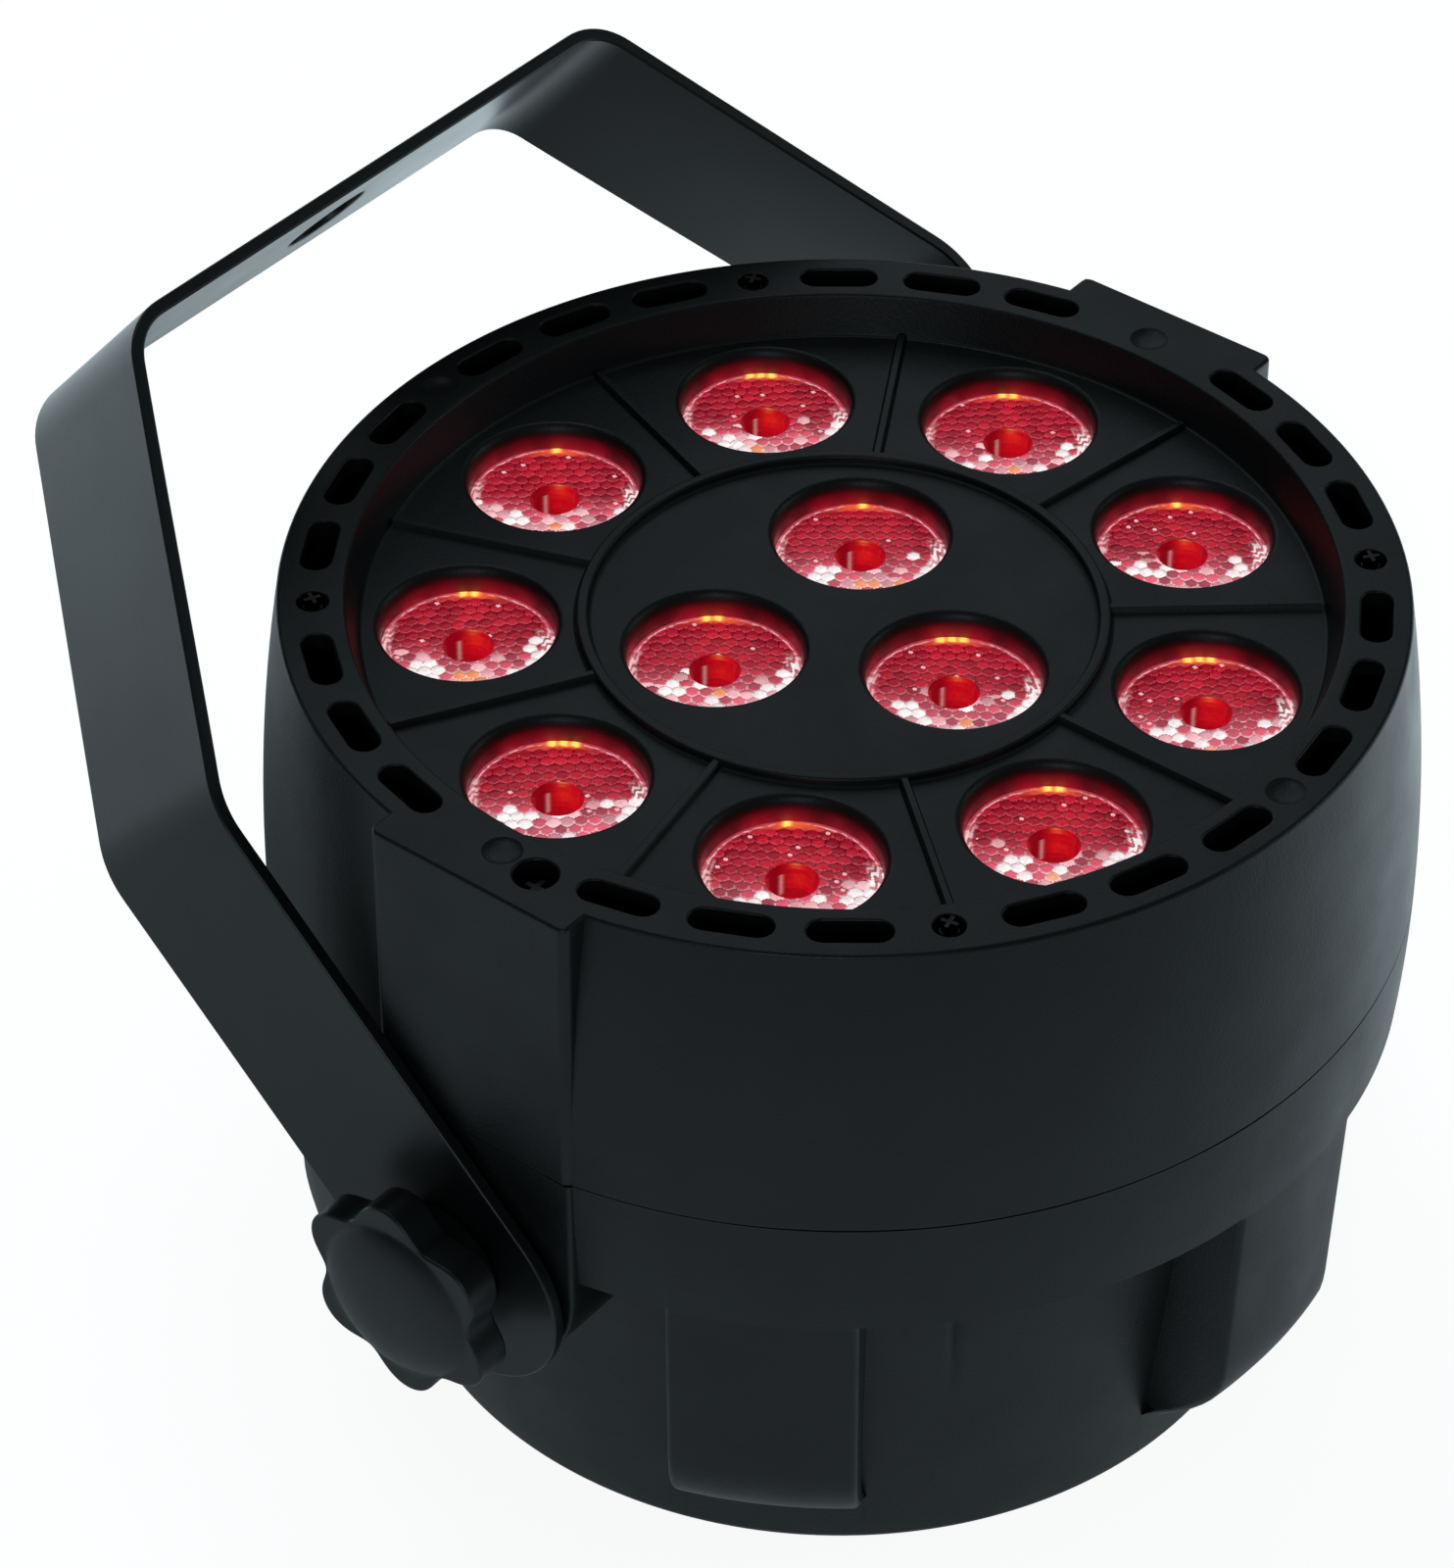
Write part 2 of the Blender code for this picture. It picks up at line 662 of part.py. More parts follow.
def build_heat_sink(material):
    sink = place(disc(SINK_R, SINK_Z, SEG_LENS * 2), "heat_sink", material)
    fins = []
    middle = (FIN_COUNT - 1) / 2
    half = 0.0008
    for i in range(FIN_COUNT):
        y = (i - middle) * FIN_PITCH
        reach = math.sqrt((SINK_R - 0.003) ** 2 - y * y)
        fins.append(box((-reach, reach), (y - half, y + half), (FIN_Z, SINK_Z[0] + SINK_IN)))
    join(sink, merged(fins))
    cut(sink, hole_group(post_places(), 0.0042, (FIN_Z - SINK_IN, SINK_Z[0])))
    cut(sink, hole_group(post_places(), SCREW_BORE_R, (SINK_Z[0] - SINK_IN, 0.1000)))


# ---- electronics --------------------------------------------------------------------------
def build_power_board(materials):
    low, high = POWER_BOARD_Z
    place(disc(POWER_BOARD_R, (low, high), SEG_LENS), "power_board", materials["green_board"])
    top = high + GAP
    body = prism(rounded_rectangle(0.024, 0.020, 0.002, 2, (-0.018, 0.014)), top, top + 0.017)
    place(body, "power_transformer", materials["component"])
    can = disc(0.0065, (top, top + 0.021), SEG_SMALL, (0.020, 0.020))
    place(can, "power_capacitor", materials["component"])


def build_control_board(material):
    place(box((-0.030, 0.030), (0.008, 0.043), CONTROL_BOARD_Z), "control_board", material)


def build_display(material):
    x, y = DISPLAY_AT
    width, height = DISPLAY_SIZE
    face = prism(rounded_rectangle(width, height, 0.0008, 1, (x, y)), 0.0114, 0.0190)
    place(face, "display_module", material)


def build_buttons(material):
    """Each cap passes through the rear panel and is held by a flange behind it."""
    names = ("menu_button", "enter_button", "up_button", "down_button")
    edge = 0.0006
    flange_z = 0.0004
    stem_z = 0.0052
    profile = [
        (0.0, -BUTTON_OUT),
        (BUTTON_R - edge, -BUTTON_OUT),
        (BUTTON_R, edge - BUTTON_OUT),
        (BUTTON_R, flange_z),
        (BUTTON_R + BUTTON_FLANGE, flange_z),
        (BUTTON_R + BUTTON_FLANGE, flange_z + BUTTON_FLANGE),
        (BUTTON_STEM_R, flange_z + BUTTON_FLANGE),
        (BUTTON_STEM_R, stem_z),
        (0.0, stem_z),
    ]
    mesh = None
    for name, x in zip(names, BUTTON_X):
        at = (x, BUTTON_Y, REAR_PANEL_Z[1])
        if mesh is None:
            mesh = place(lathe(profile, SEG_SMALL), name, material, location=at).data
        else:
            place_mesh(mesh, name, location=at)


def rear_vent_cutter():
    """Air intake slots either side of the display."""
    slots = []
    for side in (-1, 1):
        for row in range(3):
            centre = (side * 0.033, 0.020 + 0.005 * row)
            slots.append(prism(rounded_rectangle(0.014, 0.0022, 0.0010, 2, centre), 0.005, 0.020))
    return merged(slots)


def build_rear_panel(material):
    outer = REAR_RECESS_R - GAP
    panel = place(disc(outer, REAR_PANEL_Z, SEG), "rear_panel", material)
    z = (0.005, 0.020)
    width, height = DISPLAY_SIZE
    window = rounded_rectangle(width + 2 * GAP, height + 2 * GAP, 0.0010, 1, DISPLAY_AT)
    cut(panel, prism(window, *z))
    cut(panel, hole_group([(x, BUTTON_Y) for x in BUTTON_X], BUTTON_R + GAP, z))
    cut(panel, hole_group([(-DMX_X, DMX_Y), (DMX_X, DMX_Y)], DMX_R + GAP, z, SEG_LENS))
    inlet = rounded_rectangle(INLET_SIZE[0] + 2 * GAP, INLET_SIZE[1] + 2 * GAP, 0.002, 2, INLET_AT)
    cut(panel, prism(inlet, *z))
    cut(panel, disc(FUSE_R + GAP, z, SEG_SMALL, FUSE_AT))
    cut(panel, hole_group(panel_screw_places(), SCREW_BORE_R, z))
    cut(panel, rear_vent_cutter())


def contact_places(radius):
    return [polar(radius, TAU / 4 + TAU * i / 3) for i in range(3)]


def build_dmx_socket(name, x, material, has_pins):
    """A three-contact round socket: flange outside the panel, barrel through it."""
    outside = REAR_PANEL_Z[0] - GAP
    flange = rounded_rectangle(0.0250, 0.0270, 0.003, 3)
    body = prism(flange, outside - SOCKET_FLANGE, outside)
    socket = place(body, name, material, location=(x, DMX_Y, 0.0))
    join(socket, disc(DMX_R, (outside - SINK_IN, SOCKET_BACK_Z), SEG_LENS))
    below = 0.005
    contacts = contact_places(DMX_CONTACT_RING_R)
    if has_pins:
        cut(socket, disc(DMX_BORE_R, (below, 0.0240), SEG_LENS))
        join(socket, hole_group(contacts, 0.0012, (0.0140, 0.0250)))
    else:
        deep = 0.0200
        outer = DMX_BORE_R + SINK_IN
        ring = [(DMX_BORE_R, below), (outer, below), (outer, deep), (DMX_BORE_R, deep)]
        cut(socket, lathe(ring, SEG_LENS))
        cut(socket, hole_group(contacts, 0.0014, (below, deep)))


def build_power_inlet(material):
    outside = REAR_PANEL_Z[0] - GAP
    width, height = INLET_SIZE
    at = (INLET_AT[0], INLET_AT[1], 0.0)
    flange = rounded_rectangle(width + 0.006, height + 0.005, 0.003, 2)
    body = prism(flange, outside - SOCKET_FLANGE, outside)
    inlet = place(body, "power_inlet", material, location=at)
    join(inlet, prism(rounded_rectangle(width, height, 0.002, 2), outside - SINK_IN, 0.0280))
    cut(inlet, prism(rounded_rectangle(width - 0.004, height - 0.004, 0.003, 2), 0.005, 0.0240))
    blades = []
    for x in (-0.007, 0.0, 0.007):
        blades.append(box((x - 0.0010, x + 0.0010), (-0.0020, 0.0020), (0.0110, 0.0250)))
    join(inlet, merged(blades))


def build_fuse_holder(materials):
    """A panel fuse holder whose cap turns a sixth of a turn to let the fuse out."""
    outside = REAR_PANEL_Z[0] - GAP
    at = (FUSE_AT[0], FUSE_AT[1], 0.0)
    bore_r = 0.0045
    flange_r = FUSE_R + 0.0016
    flange_z = outside - 0.0014
    profile = [
        (bore_r, flange_z),
        (flange_r, flange_z),
        (flange_r, outside),
        (FUSE_R, outside),
        (FUSE_R, SOCKET_BACK_Z),
        (0.0, SOCKET_BACK_Z),
        (0.0, SOCKET_BACK_Z - 0.0015),
        (bore_r, SOCKET_BACK_Z - 0.0015),
    ]
    place(lathe(profile, SEG_SMALL), "fuse_holder", materials["socket"], location=at)
    place(disc(0.0026, (0.0104, 0.0272), SEG_SMALL), "fuse_link", materials["steel"], location=at)
    cap_r = 0.0058
    cap_z = (0.0052, 0.0090)
    cup_out = 0.0041
    cup_in = 0.0030
    cup_z = (0.0100, 0.0160)
    edge = 0.0006
    cap_profile = [
        (0.0, cap_z[0]),
        (cap_r - edge, cap_z[0]),
        (cap_r, cap_z[0] + edge),
        (cap_r, cap_z[1]),
        (cup_out, cap_z[1]),
        (cup_out, cup_z[1]),
        (cup_in, cup_z[1]),
        (cup_in, cup_z[0]),
        (0.0, cup_z[0]),
    ]
    cap = place(lathe(cap_profile, SEG_SMALL), "fuse_cap", materials["socket"], location=at)
    cut(cap, box((-0.0050, 0.0050), (-0.0006, 0.0006), (0.0040, 0.0061)))


def tube(name, points, radius, material):
    """A round cable that bends smoothly through the points."""
    curve = bpy.data.curves.new(name, "CURVE")
    curve.dimensions = "3D"
    curve.bevel_depth = radius
    curve.bevel_resolution = 1
    curve.resolution_u = 4
    curve.use_fill_caps = True
    spline = curve.splines.new("BEZIER")
    spline.bezier_points.add(len(points) - 1)
    for handle, point in zip(spline.bezier_points, points):
        handle.co = point
        handle.handle_left_type = "AUTO"
        handle.handle_right_type = "AUTO"
    obj = bpy.data.objects.new(name, curve)
    bpy.context.scene.collection.objects.link(obj)
    curve.materials.append(material)


def build_cables(material):
    slack = 2 * GAP
    board_top = POWER_BOARD_Z[1] + slack
    board_under = POWER_BOARD_Z[0] - slack
    led_points = [
        (0.0480, 0.0, board_top),
        (0.0482, 0.0, board_top + 0.0060),
        (0.0600, 0.0, 0.0700),
        (0.0602, 0.0, BOARD_Z[0] - slack),
    ]
    tube("led_cable", led_points, 0.0015, material)
    control_points = [
        (0.0200, 0.0300, CONTROL_BOARD_Z[1] + slack),
        (0.0205, 0.0300, 0.0265),
        (0.0200, 0.0300, board_under),
    ]
    tube("control_cable", control_points, 0.0013, material)
    mains_points = [
        (0.0030, -0.0360, 0.0280 + slack),
        (0.0030, -0.0360, 0.0300),
        (0.0030, -0.0360, board_under),
    ]
    tube("mains_cable", mains_points, 0.0013, material)


# ---- yoke and knobs -----------------------------------------------------------------------
def bend(before, corner, after, radius, steps):
    """Points of an arc that rounds off the corner between two straight runs."""
    incoming = (before - corner).normalized()
    outgoing = (after - corner).normalized()
    half = incoming.angle(outgoing) / 2
    reach = radius / math.tan(half)
    centre = corner + (incoming + outgoing).normalized() * radius / math.sin(half)
    start = corner + incoming * reach - centre
    end = corner + outgoing * reach - centre
    return [centre + start.lerp(end, i / steps).normalized() * radius for i in range(steps + 1)]


def yoke_outside_path():
    """Outer face of the strip in the plane of the yoke, from one rounded end to the other."""
    tail_r = YOKE_W / 2
    half = [
        Vector((-YOKE_ARM_X, -YOKE_TAIL, 0.0)),
        Vector((-YOKE_ARM_X, YOKE_ARM_END, 0.0)),
        Vector((-YOKE_BAR_X, YOKE_BAR, 0.0)),
        Vector((0.0, YOKE_BAR, 0.0)),
    ]
    points = []
    widths = []
    for i in range(YOKE_TAIL_STEPS):
        angle = TAU / 4 * (i + 0.35) / YOKE_TAIL_STEPS
        points.append(half[0] - Vector((0.0, tail_r * math.cos(angle), 0.0)))
        widths.append(tail_r * math.sin(angle))
    run = [half[0]]
    run += bend(half[0], half[1], half[2], YOKE_SHOULDER_R, 5)
    run += bend(half[1], half[2], half[3], YOKE_CORNER_R, 8)
    points += run
    widths += [tail_r] * len(run)
    points += [Vector((-p.x, p.y, 0.0)) for p in reversed(points)]
    widths += widths[::-1]
    return points, widths


def build_yoke(material, pivot):
    points, widths = yoke_outside_path()
    sections = []
    for i, (point, half) in enumerate(zip(points, widths)):
        before = points[max(i - 1, 0)]
        after = points[min(i + 1, len(points) - 1)]
        along = (after - before).normalized()
        inward = Vector((along.y, -along.x, 0.0)) * YOKE_T
        inside = point + inward
        corners = ((point, -half), (point, half), (inside, half), (inside, -half))
        sections.append([(p.x, p.y, z) for p, z in corners])
    yoke = place(loft(sections), "yoke_bracket", material, pivot, smooth_deg=30.0)
    bores = [moved(disc(STUD_R + GAP, (0.070, 0.090), SEG_SMALL), along_x(side)) for side in (-1, 1)]
    cut(yoke, merged(bores))
    bar = moved(disc(YOKE_HANG_HOLE_R, (0.11, 0.14), SEG_LENS), Matrix.Rotation(-TAU / 4, 4, "X"))
    cut(yoke, bar)


def knob_outline():
    points = []
    steps = KNOB_LOBES * 8
    for i in range(steps):
        angle = TAU * i / steps
        radius = KNOB_R + KNOB_LOBE * math.cos(KNOB_LOBES * (angle - KNOB_TURN))
        p = polar(radius, angle)
        points.append((p.x, p.y))
    return points


def build_knob(side, name, material, parent):
    """A six-lobed clamp knob: hub, lobed grip and domed cap, with a blind bore for its stud."""
    grip = prism([(-side * y, x) for x, y in knob_outline()], KNOB_BACK_X, KNOB_FRONT_X)
    knob = place(moved(grip, along_x(1)), name, material, parent)
    root = KNOB_FRONT_X - SINK_IN
    dome = [(0.0, root), (KNOB_DOME_R, root), (KNOB_DOME_R, KNOB_FRONT_X)]
    steps = 4
    for i in range(1, steps):
        angle = TAU / 4 * i / steps
        rise = (KNOB_TIP_X - KNOB_FRONT_X) * math.sin(angle)
        dome.append((KNOB_DOME_R * math.cos(angle), KNOB_FRONT_X + rise))
    dome.append((0.0, KNOB_TIP_X))
    join(knob, moved(lathe(dome, SEG_LENS), along_x(1)))
    hub = disc(KNOB_HUB_R, (YOKE_ARM_X + GAP, KNOB_BACK_X + SINK_IN), SEG_LENS)
    join(knob, moved(hub, along_x(1)))
    cut(knob, moved(disc(STUD_R + GAP, (0.070, STUD_X[1] + GAP), SEG_SMALL), along_x(1)))
    return knob


def collar(inner, outer, low, high):
    return [(inner, low), (outer, low), (outer, high), (inner, high)]


def build_pivot_hardware(tag, materials, parent):
    stud = moved(disc(STUD_R, STUD_X, SEG_SMALL), along_x(1))
    place(stud, f"knob_stud_{tag}", materials["steel"], parent)
    bush = moved(lathe(collar(STUD_R + GAP, INSERT_R, *INSERT_X), SEG_SMALL), along_x(1))
    place(bush, f"threaded_insert_{tag}", materials["brass"], parent)
    washer_x = (PAD_X + GAP, YOKE_ARM_X - YOKE_T - GAP)
    washer = moved(lathe(collar(STUD_R + GAP, WASHER_R, *washer_x), SEG_LENS), along_x(1))
    place(washer, f"friction_washer_{tag}", materials["washer"], parent)


def build_yoke_group(materials):
    axis_at = (0.0, PIVOT_Y, PIVOT_Z)
    tilt = empty("yoke_tilt_axis", axis_at, (YOKE_TILT, 0.0, 0.0))
    build_yoke(materials["yoke"], tilt)
    for side, tag in ((-1, "left"), (1, "right")):
        turn = 0.0 if side == 1 else TAU / 2
        knob_axis = empty(f"knob_axis_{tag}", axis_at, (0.0, 0.0, turn))
        build_knob(side, f"tilt_knob_{tag}", materials["knob"], knob_axis)
        build_pivot_hardware(tag, materials, knob_axis)


# ---- fasteners ----------------------------------------------------------------------------
def screw(head_r, head_h, shank_r, length):
    """A pan head at the top of its shank, with a cross slot; the head's underside is at z = 0."""
    profile = [
        (0.0, -length),
        (shank_r, -length),
        (shank_r, 0.0),
        (head_r, 0.0),
        (0.8 * head_r, head_h),
        (0.0, head_h),
    ]
    return lathe(profile, 8)


def cross_slot(head_r, head_h):
    half = 0.14 * head_r
    reach = 0.6 * head_r
    outline = []
    for i in range(4):
        for x, y in ((half, -half), (reach, -half), (reach, half)):
            p = spun(TAU / 4 * i) @ Vector((x, y, 0.0))
            outline.append((p.x, p.y))
    return prism(outline, 0.45 * head_h, 2 * head_h)


def place_screw(name, material, at, size, flip=False):
    head_r, head_h, shank_r, length = size
    holder = empty(f"{name}_place", at, (TAU / 2 if flip else 0.0, 0.0, 0.0))
    body = place(screw(head_r, head_h, shank_r, length), name, material, holder)
    cut(body, cross_slot(head_r, head_h))


def build_screws(materials):
    black = materials["black_screw"]
    rim_screw = (0.0020, 0.0014, SCREW_SHANK_R, 0.0290)
    for i, spot in enumerate(rim_screw_places()):
        at = (spot.x, spot.y, RIM_SCREW_SEAT_Z + GAP)
        place_screw(f"rim_screw_{i + 1}", black, at, rim_screw)
    side_screw = (0.0026, 0.0018, 0.0015, 0.0440)
    place_screw("side_screw", black, (*SIDE_SCREW_AT, SIDE_SCREW_SEAT_Z + GAP), side_screw)
    panel_screw = (0.0026, 0.0016, SCREW_SHANK_R, 0.0070)
    for i, spot in enumerate(panel_screw_places()):
        at = (spot.x, spot.y, REAR_PANEL_Z[0] - GAP)
        place_screw(f"panel_screw_{i + 1}", black, at, panel_screw, True)
    sink_screw = (0.0030, 0.0018, SCREW_SHANK_R, 0.0160)
    for i, spot in enumerate(post_places()):
        at = (spot.x, spot.y, SINK_Z[0] - GAP)
        place_screw(f"heat_sink_screw_{i + 1}", materials["steel"], at, sink_screw, True)


def stand_in_frame():
    """Moves everything together, so that the origin is under the middle of the whole light."""
    stand = empty("par_can", (0.0, AXIS_Y, 0.0))
    for obj in bpy.data.objects:
        if obj.parent is None and obj is not stand:
            obj.parent = stand


def build():
    clear_scene()
    materials = make_materials()
    build_front_shell(materials["casing"])
    build_rear_shell(materials["casing"])
    build_rear_panel(materials["panel"])
    build_lenses(materials["lens"])
    build_lens_tray(materials["tray"])
    build_led_board(materials["white_board"])
    build_heat_sink(materials["aluminium"])
    build_power_board(materials)
    build_control_board(materials["green_board"])
    build_display(materials["display"])
    build_buttons(materials["button"])
    build_dmx_socket("dmx_input_socket", -DMX_X, materials["socket"], True)
    build_dmx_socket("dmx_output_socket", DMX_X, materials["socket"], False)
    build_power_inlet(materials["socket"])
    build_fuse_holder(materials)
    build_cables(materials["wire"])
    build_yoke_group(materials)
    build_screws(materials)
    stand_in_frame()


build()
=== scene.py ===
import json
import math

import bmesh
import bpy
import numpy as np
from mathutils import Matrix, Vector


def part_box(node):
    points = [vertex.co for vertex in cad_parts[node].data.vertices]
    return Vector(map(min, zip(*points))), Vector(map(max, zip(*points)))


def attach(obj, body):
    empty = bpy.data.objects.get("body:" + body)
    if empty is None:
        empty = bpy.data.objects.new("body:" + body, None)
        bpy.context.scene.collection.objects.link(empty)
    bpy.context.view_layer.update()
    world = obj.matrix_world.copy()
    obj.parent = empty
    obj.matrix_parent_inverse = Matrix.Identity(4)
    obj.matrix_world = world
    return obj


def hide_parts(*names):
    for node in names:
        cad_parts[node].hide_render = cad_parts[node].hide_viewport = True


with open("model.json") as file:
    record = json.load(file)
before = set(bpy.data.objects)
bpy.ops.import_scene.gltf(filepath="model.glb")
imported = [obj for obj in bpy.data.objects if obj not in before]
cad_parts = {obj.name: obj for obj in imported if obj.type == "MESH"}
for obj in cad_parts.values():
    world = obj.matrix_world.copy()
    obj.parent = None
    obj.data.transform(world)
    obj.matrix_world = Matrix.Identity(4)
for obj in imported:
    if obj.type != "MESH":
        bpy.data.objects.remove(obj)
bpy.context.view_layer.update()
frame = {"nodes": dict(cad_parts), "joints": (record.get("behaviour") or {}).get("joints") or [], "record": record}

TAU = 2.0 * math.pi
BODY_LOW, BODY_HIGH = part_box("front_shell")
AXIS = Vector((0.0, (BODY_LOW[1] + BODY_HIGH[1]) / 2, 0.0))  # the beam axis in the frame
TILT_JOINT = next(j for j in frame["joints"] if j["name"] == "yoke_tilt")
PIVOT = Vector(TILT_JOINT["pos_m"]) - AXIS

# ---- dimensions, in metres, about the beam axis --------------------------------------------
HEIGHT = 0.117
RIM_R = 0.0751
RIM_INNER_R = 0.0660
BULGE_R = 0.0787  # the casing is widest at its split line
SPLIT_Z = 0.0737
SPLIT_GAP = 0.00015
BAND_R = 0.07785
LEDGE_Z = 0.0553
CONE_TOP_R = 0.0693
CONE_LOW_R = 0.0633
WALL = 0.0025
PANEL_Z = 0.1111
PANEL_R = 0.0642
PANEL_T = 0.0039
RING_R = 0.0348  # the raised ring on the panel
RIBS = 9

LENS_FACE_Z = 0.1071
LENS_FOOT_Z = 0.0963
LENS_R = 0.0123
LENS_OUTER_R = 0.050  # rings of nine and of three lenses
LENS_INNER_R = 0.0184
HOLE_R = 0.01165
HOLE_ROUND = 0.00115  # width of the rounded mouth
HOLE_ROUND_DEPTH = 0.0021
BEAD = 0.0018  # pitch of the hexagonal beads
BEAD_STEPS = 8
BEAD_RISE = 0.00016
BORE_R = 0.00345
BORE_DEPTH = 0.0045
SKIRT_GAP = 0.0003  # how far the beaded face reaches under the casing

SLOT_RING_R = 0.0703
SLOT_ANGLES = (14.0, 26.0, 38.0, 58.0, 70.0, 82.0)
SLOT_LENGTH = 0.0108
SLOT_WIDTH = 0.0041
RIM_SCREW_ANGLE = 48.0
RIM_SCREW = (0.1148, 0.0019, 0.0014)  # seat height, head radius, head height
SIDE_SCREW = (0.1112, 0.0025, 0.0018)
SIDE_SCREW_PLACE = (-0.0711, -0.0061)

PAD_HALF = 0.0160
PAD_X = 0.0778
PAD_TOP_X = 0.0776
PAD_END_Z = 0.0525
TAB_HALF = 0.0127
TABS = 6

YOKE_TILT = math.radians(44.0)
YOKE_T = 0.0019
YOKE_HALF = 0.0153
YOKE_ARM_X = 0.0805
YOKE_ARM_START = -0.03
YOKE_TAIL = 0.0040
YOKE_ARM_END = 0.0665
YOKE_BAR_X = 0.0479
YOKE_BAR = 0.1232
YOKE_SHOULDER_R = 0.016
YOKE_CORNER_R = 0.010
YOKE_PIN_HOLE_R = 0.0043
YOKE_BAR_HOLE_R = 0.0065
YOKE_TWIST = math.radians(3.0)  # the crossbar is not quite square to the arms
YOKE_SKEW = 0.010

KNOB_R = 0.0139
KNOB_LOBE = 0.0015
KNOB_LOBES = 6
KNOB_TURN = math.radians(23.4)
KNOB_EDGE = 0.00045
KNOB_BACK_X = 0.0858
KNOB_FRONT_X = 0.0911
KNOB_TIP_X = 0.0937

# ---- colours and light --------------------------------------------------------------------
CASING_DARK = (0.0030, 0.0046, 0.0052)
CASING_LIGHT = (0.0048, 0.0068, 0.0075)
CASING_ROUGH = 0.42
CASING_SPECULAR = 0.42

WINE = np.array([0.32, 0.008, 0.022])
ROSE = np.array([0.62, 0.105, 0.155])
PALE = np.array([0.97, 0.60, 0.63])
WHITE = np.array([1.0, 0.94, 0.94])
AMBER = np.array([1.0, 0.40, 0.12])
ORANGE = np.array([0.92, 0.13, 0.035])
HOT = np.array([1.7, 0.85, 0.16])
RED = np.array([0.50, 0.003, 0.010])
LIVELY_RED = np.array([0.78, 0.022, 0.012])
DARK_RED = np.array([0.13, 0.001, 0.006])
GLINT = np.array([0.50, 0.20, 0.20])
LINE_LIT = np.array([0.70, 0.09, 0.13])
LINE_DARK = np.array([0.08, 0.001, 0.005])
EDGE_FAR = np.array([0.46, 0.045, 0.08])
EDGE_NEAR = np.array([0.86, 0.34, 0.38])
HOLE_LIGHT = np.array([0.19, 0.001, 0.008])

COOL_LIGHT = (0.83, 0.99, 1.06)
WORLD_LIGHT = 0.09
FLOOR_TONE = 0.55
FLOOR_LIFT = 0.90  # what the camera sees on top of the lit paper
FLOOR_FAR = 2.0  # what the floor throws on the light, and where it is brighter
FLOOR_BRIGHTER_TOWARDS = (0.85, 0.53, 0.0)
FLOOR_SHADE = (-0.02, 0.15, 0.0)  # the floor behind the light lies in its shade
SOFTBOXES = {  # direction, distance, size and power
    "behind": ((0.55, 0.60, 0.62), 1.2, (1.1, 0.8), 1.0),
    "from_right": ((0.9, -0.75, 0.35), 1.2, (0.4, 0.6), 0.6),
    "from_top": ((0.1, 0.3, 1.0), 1.4, (0.5, 0.5), 1.0),
    "camera_side": ((-0.79, -0.49, 0.37), 0.9, (0.22, 0.22), 0.5),
}
LIGHT_AIM = Vector((0.0, 0.0, 0.06))

CAMERA_PLACE = Vector((-0.47162, -0.35278, 0.57194))
CAMERA_BACK = Vector((-0.6031, -0.4764, 0.6397))
CAMERA_RIGHT = Vector((0.6199, -0.7847, 0.0))
CAMERA_LENS = 128.96
CAMERA_SENSOR = 36.0

# Directions across the floor, as seen from the camera.
VIEW_RIGHT = np.array([0.620, -0.785])
VIEW_NEAR = np.array([-0.785, -0.620])
VIEW_FAR_ANGLE = math.atan2(-VIEW_NEAR[1], -VIEW_NEAR[0])


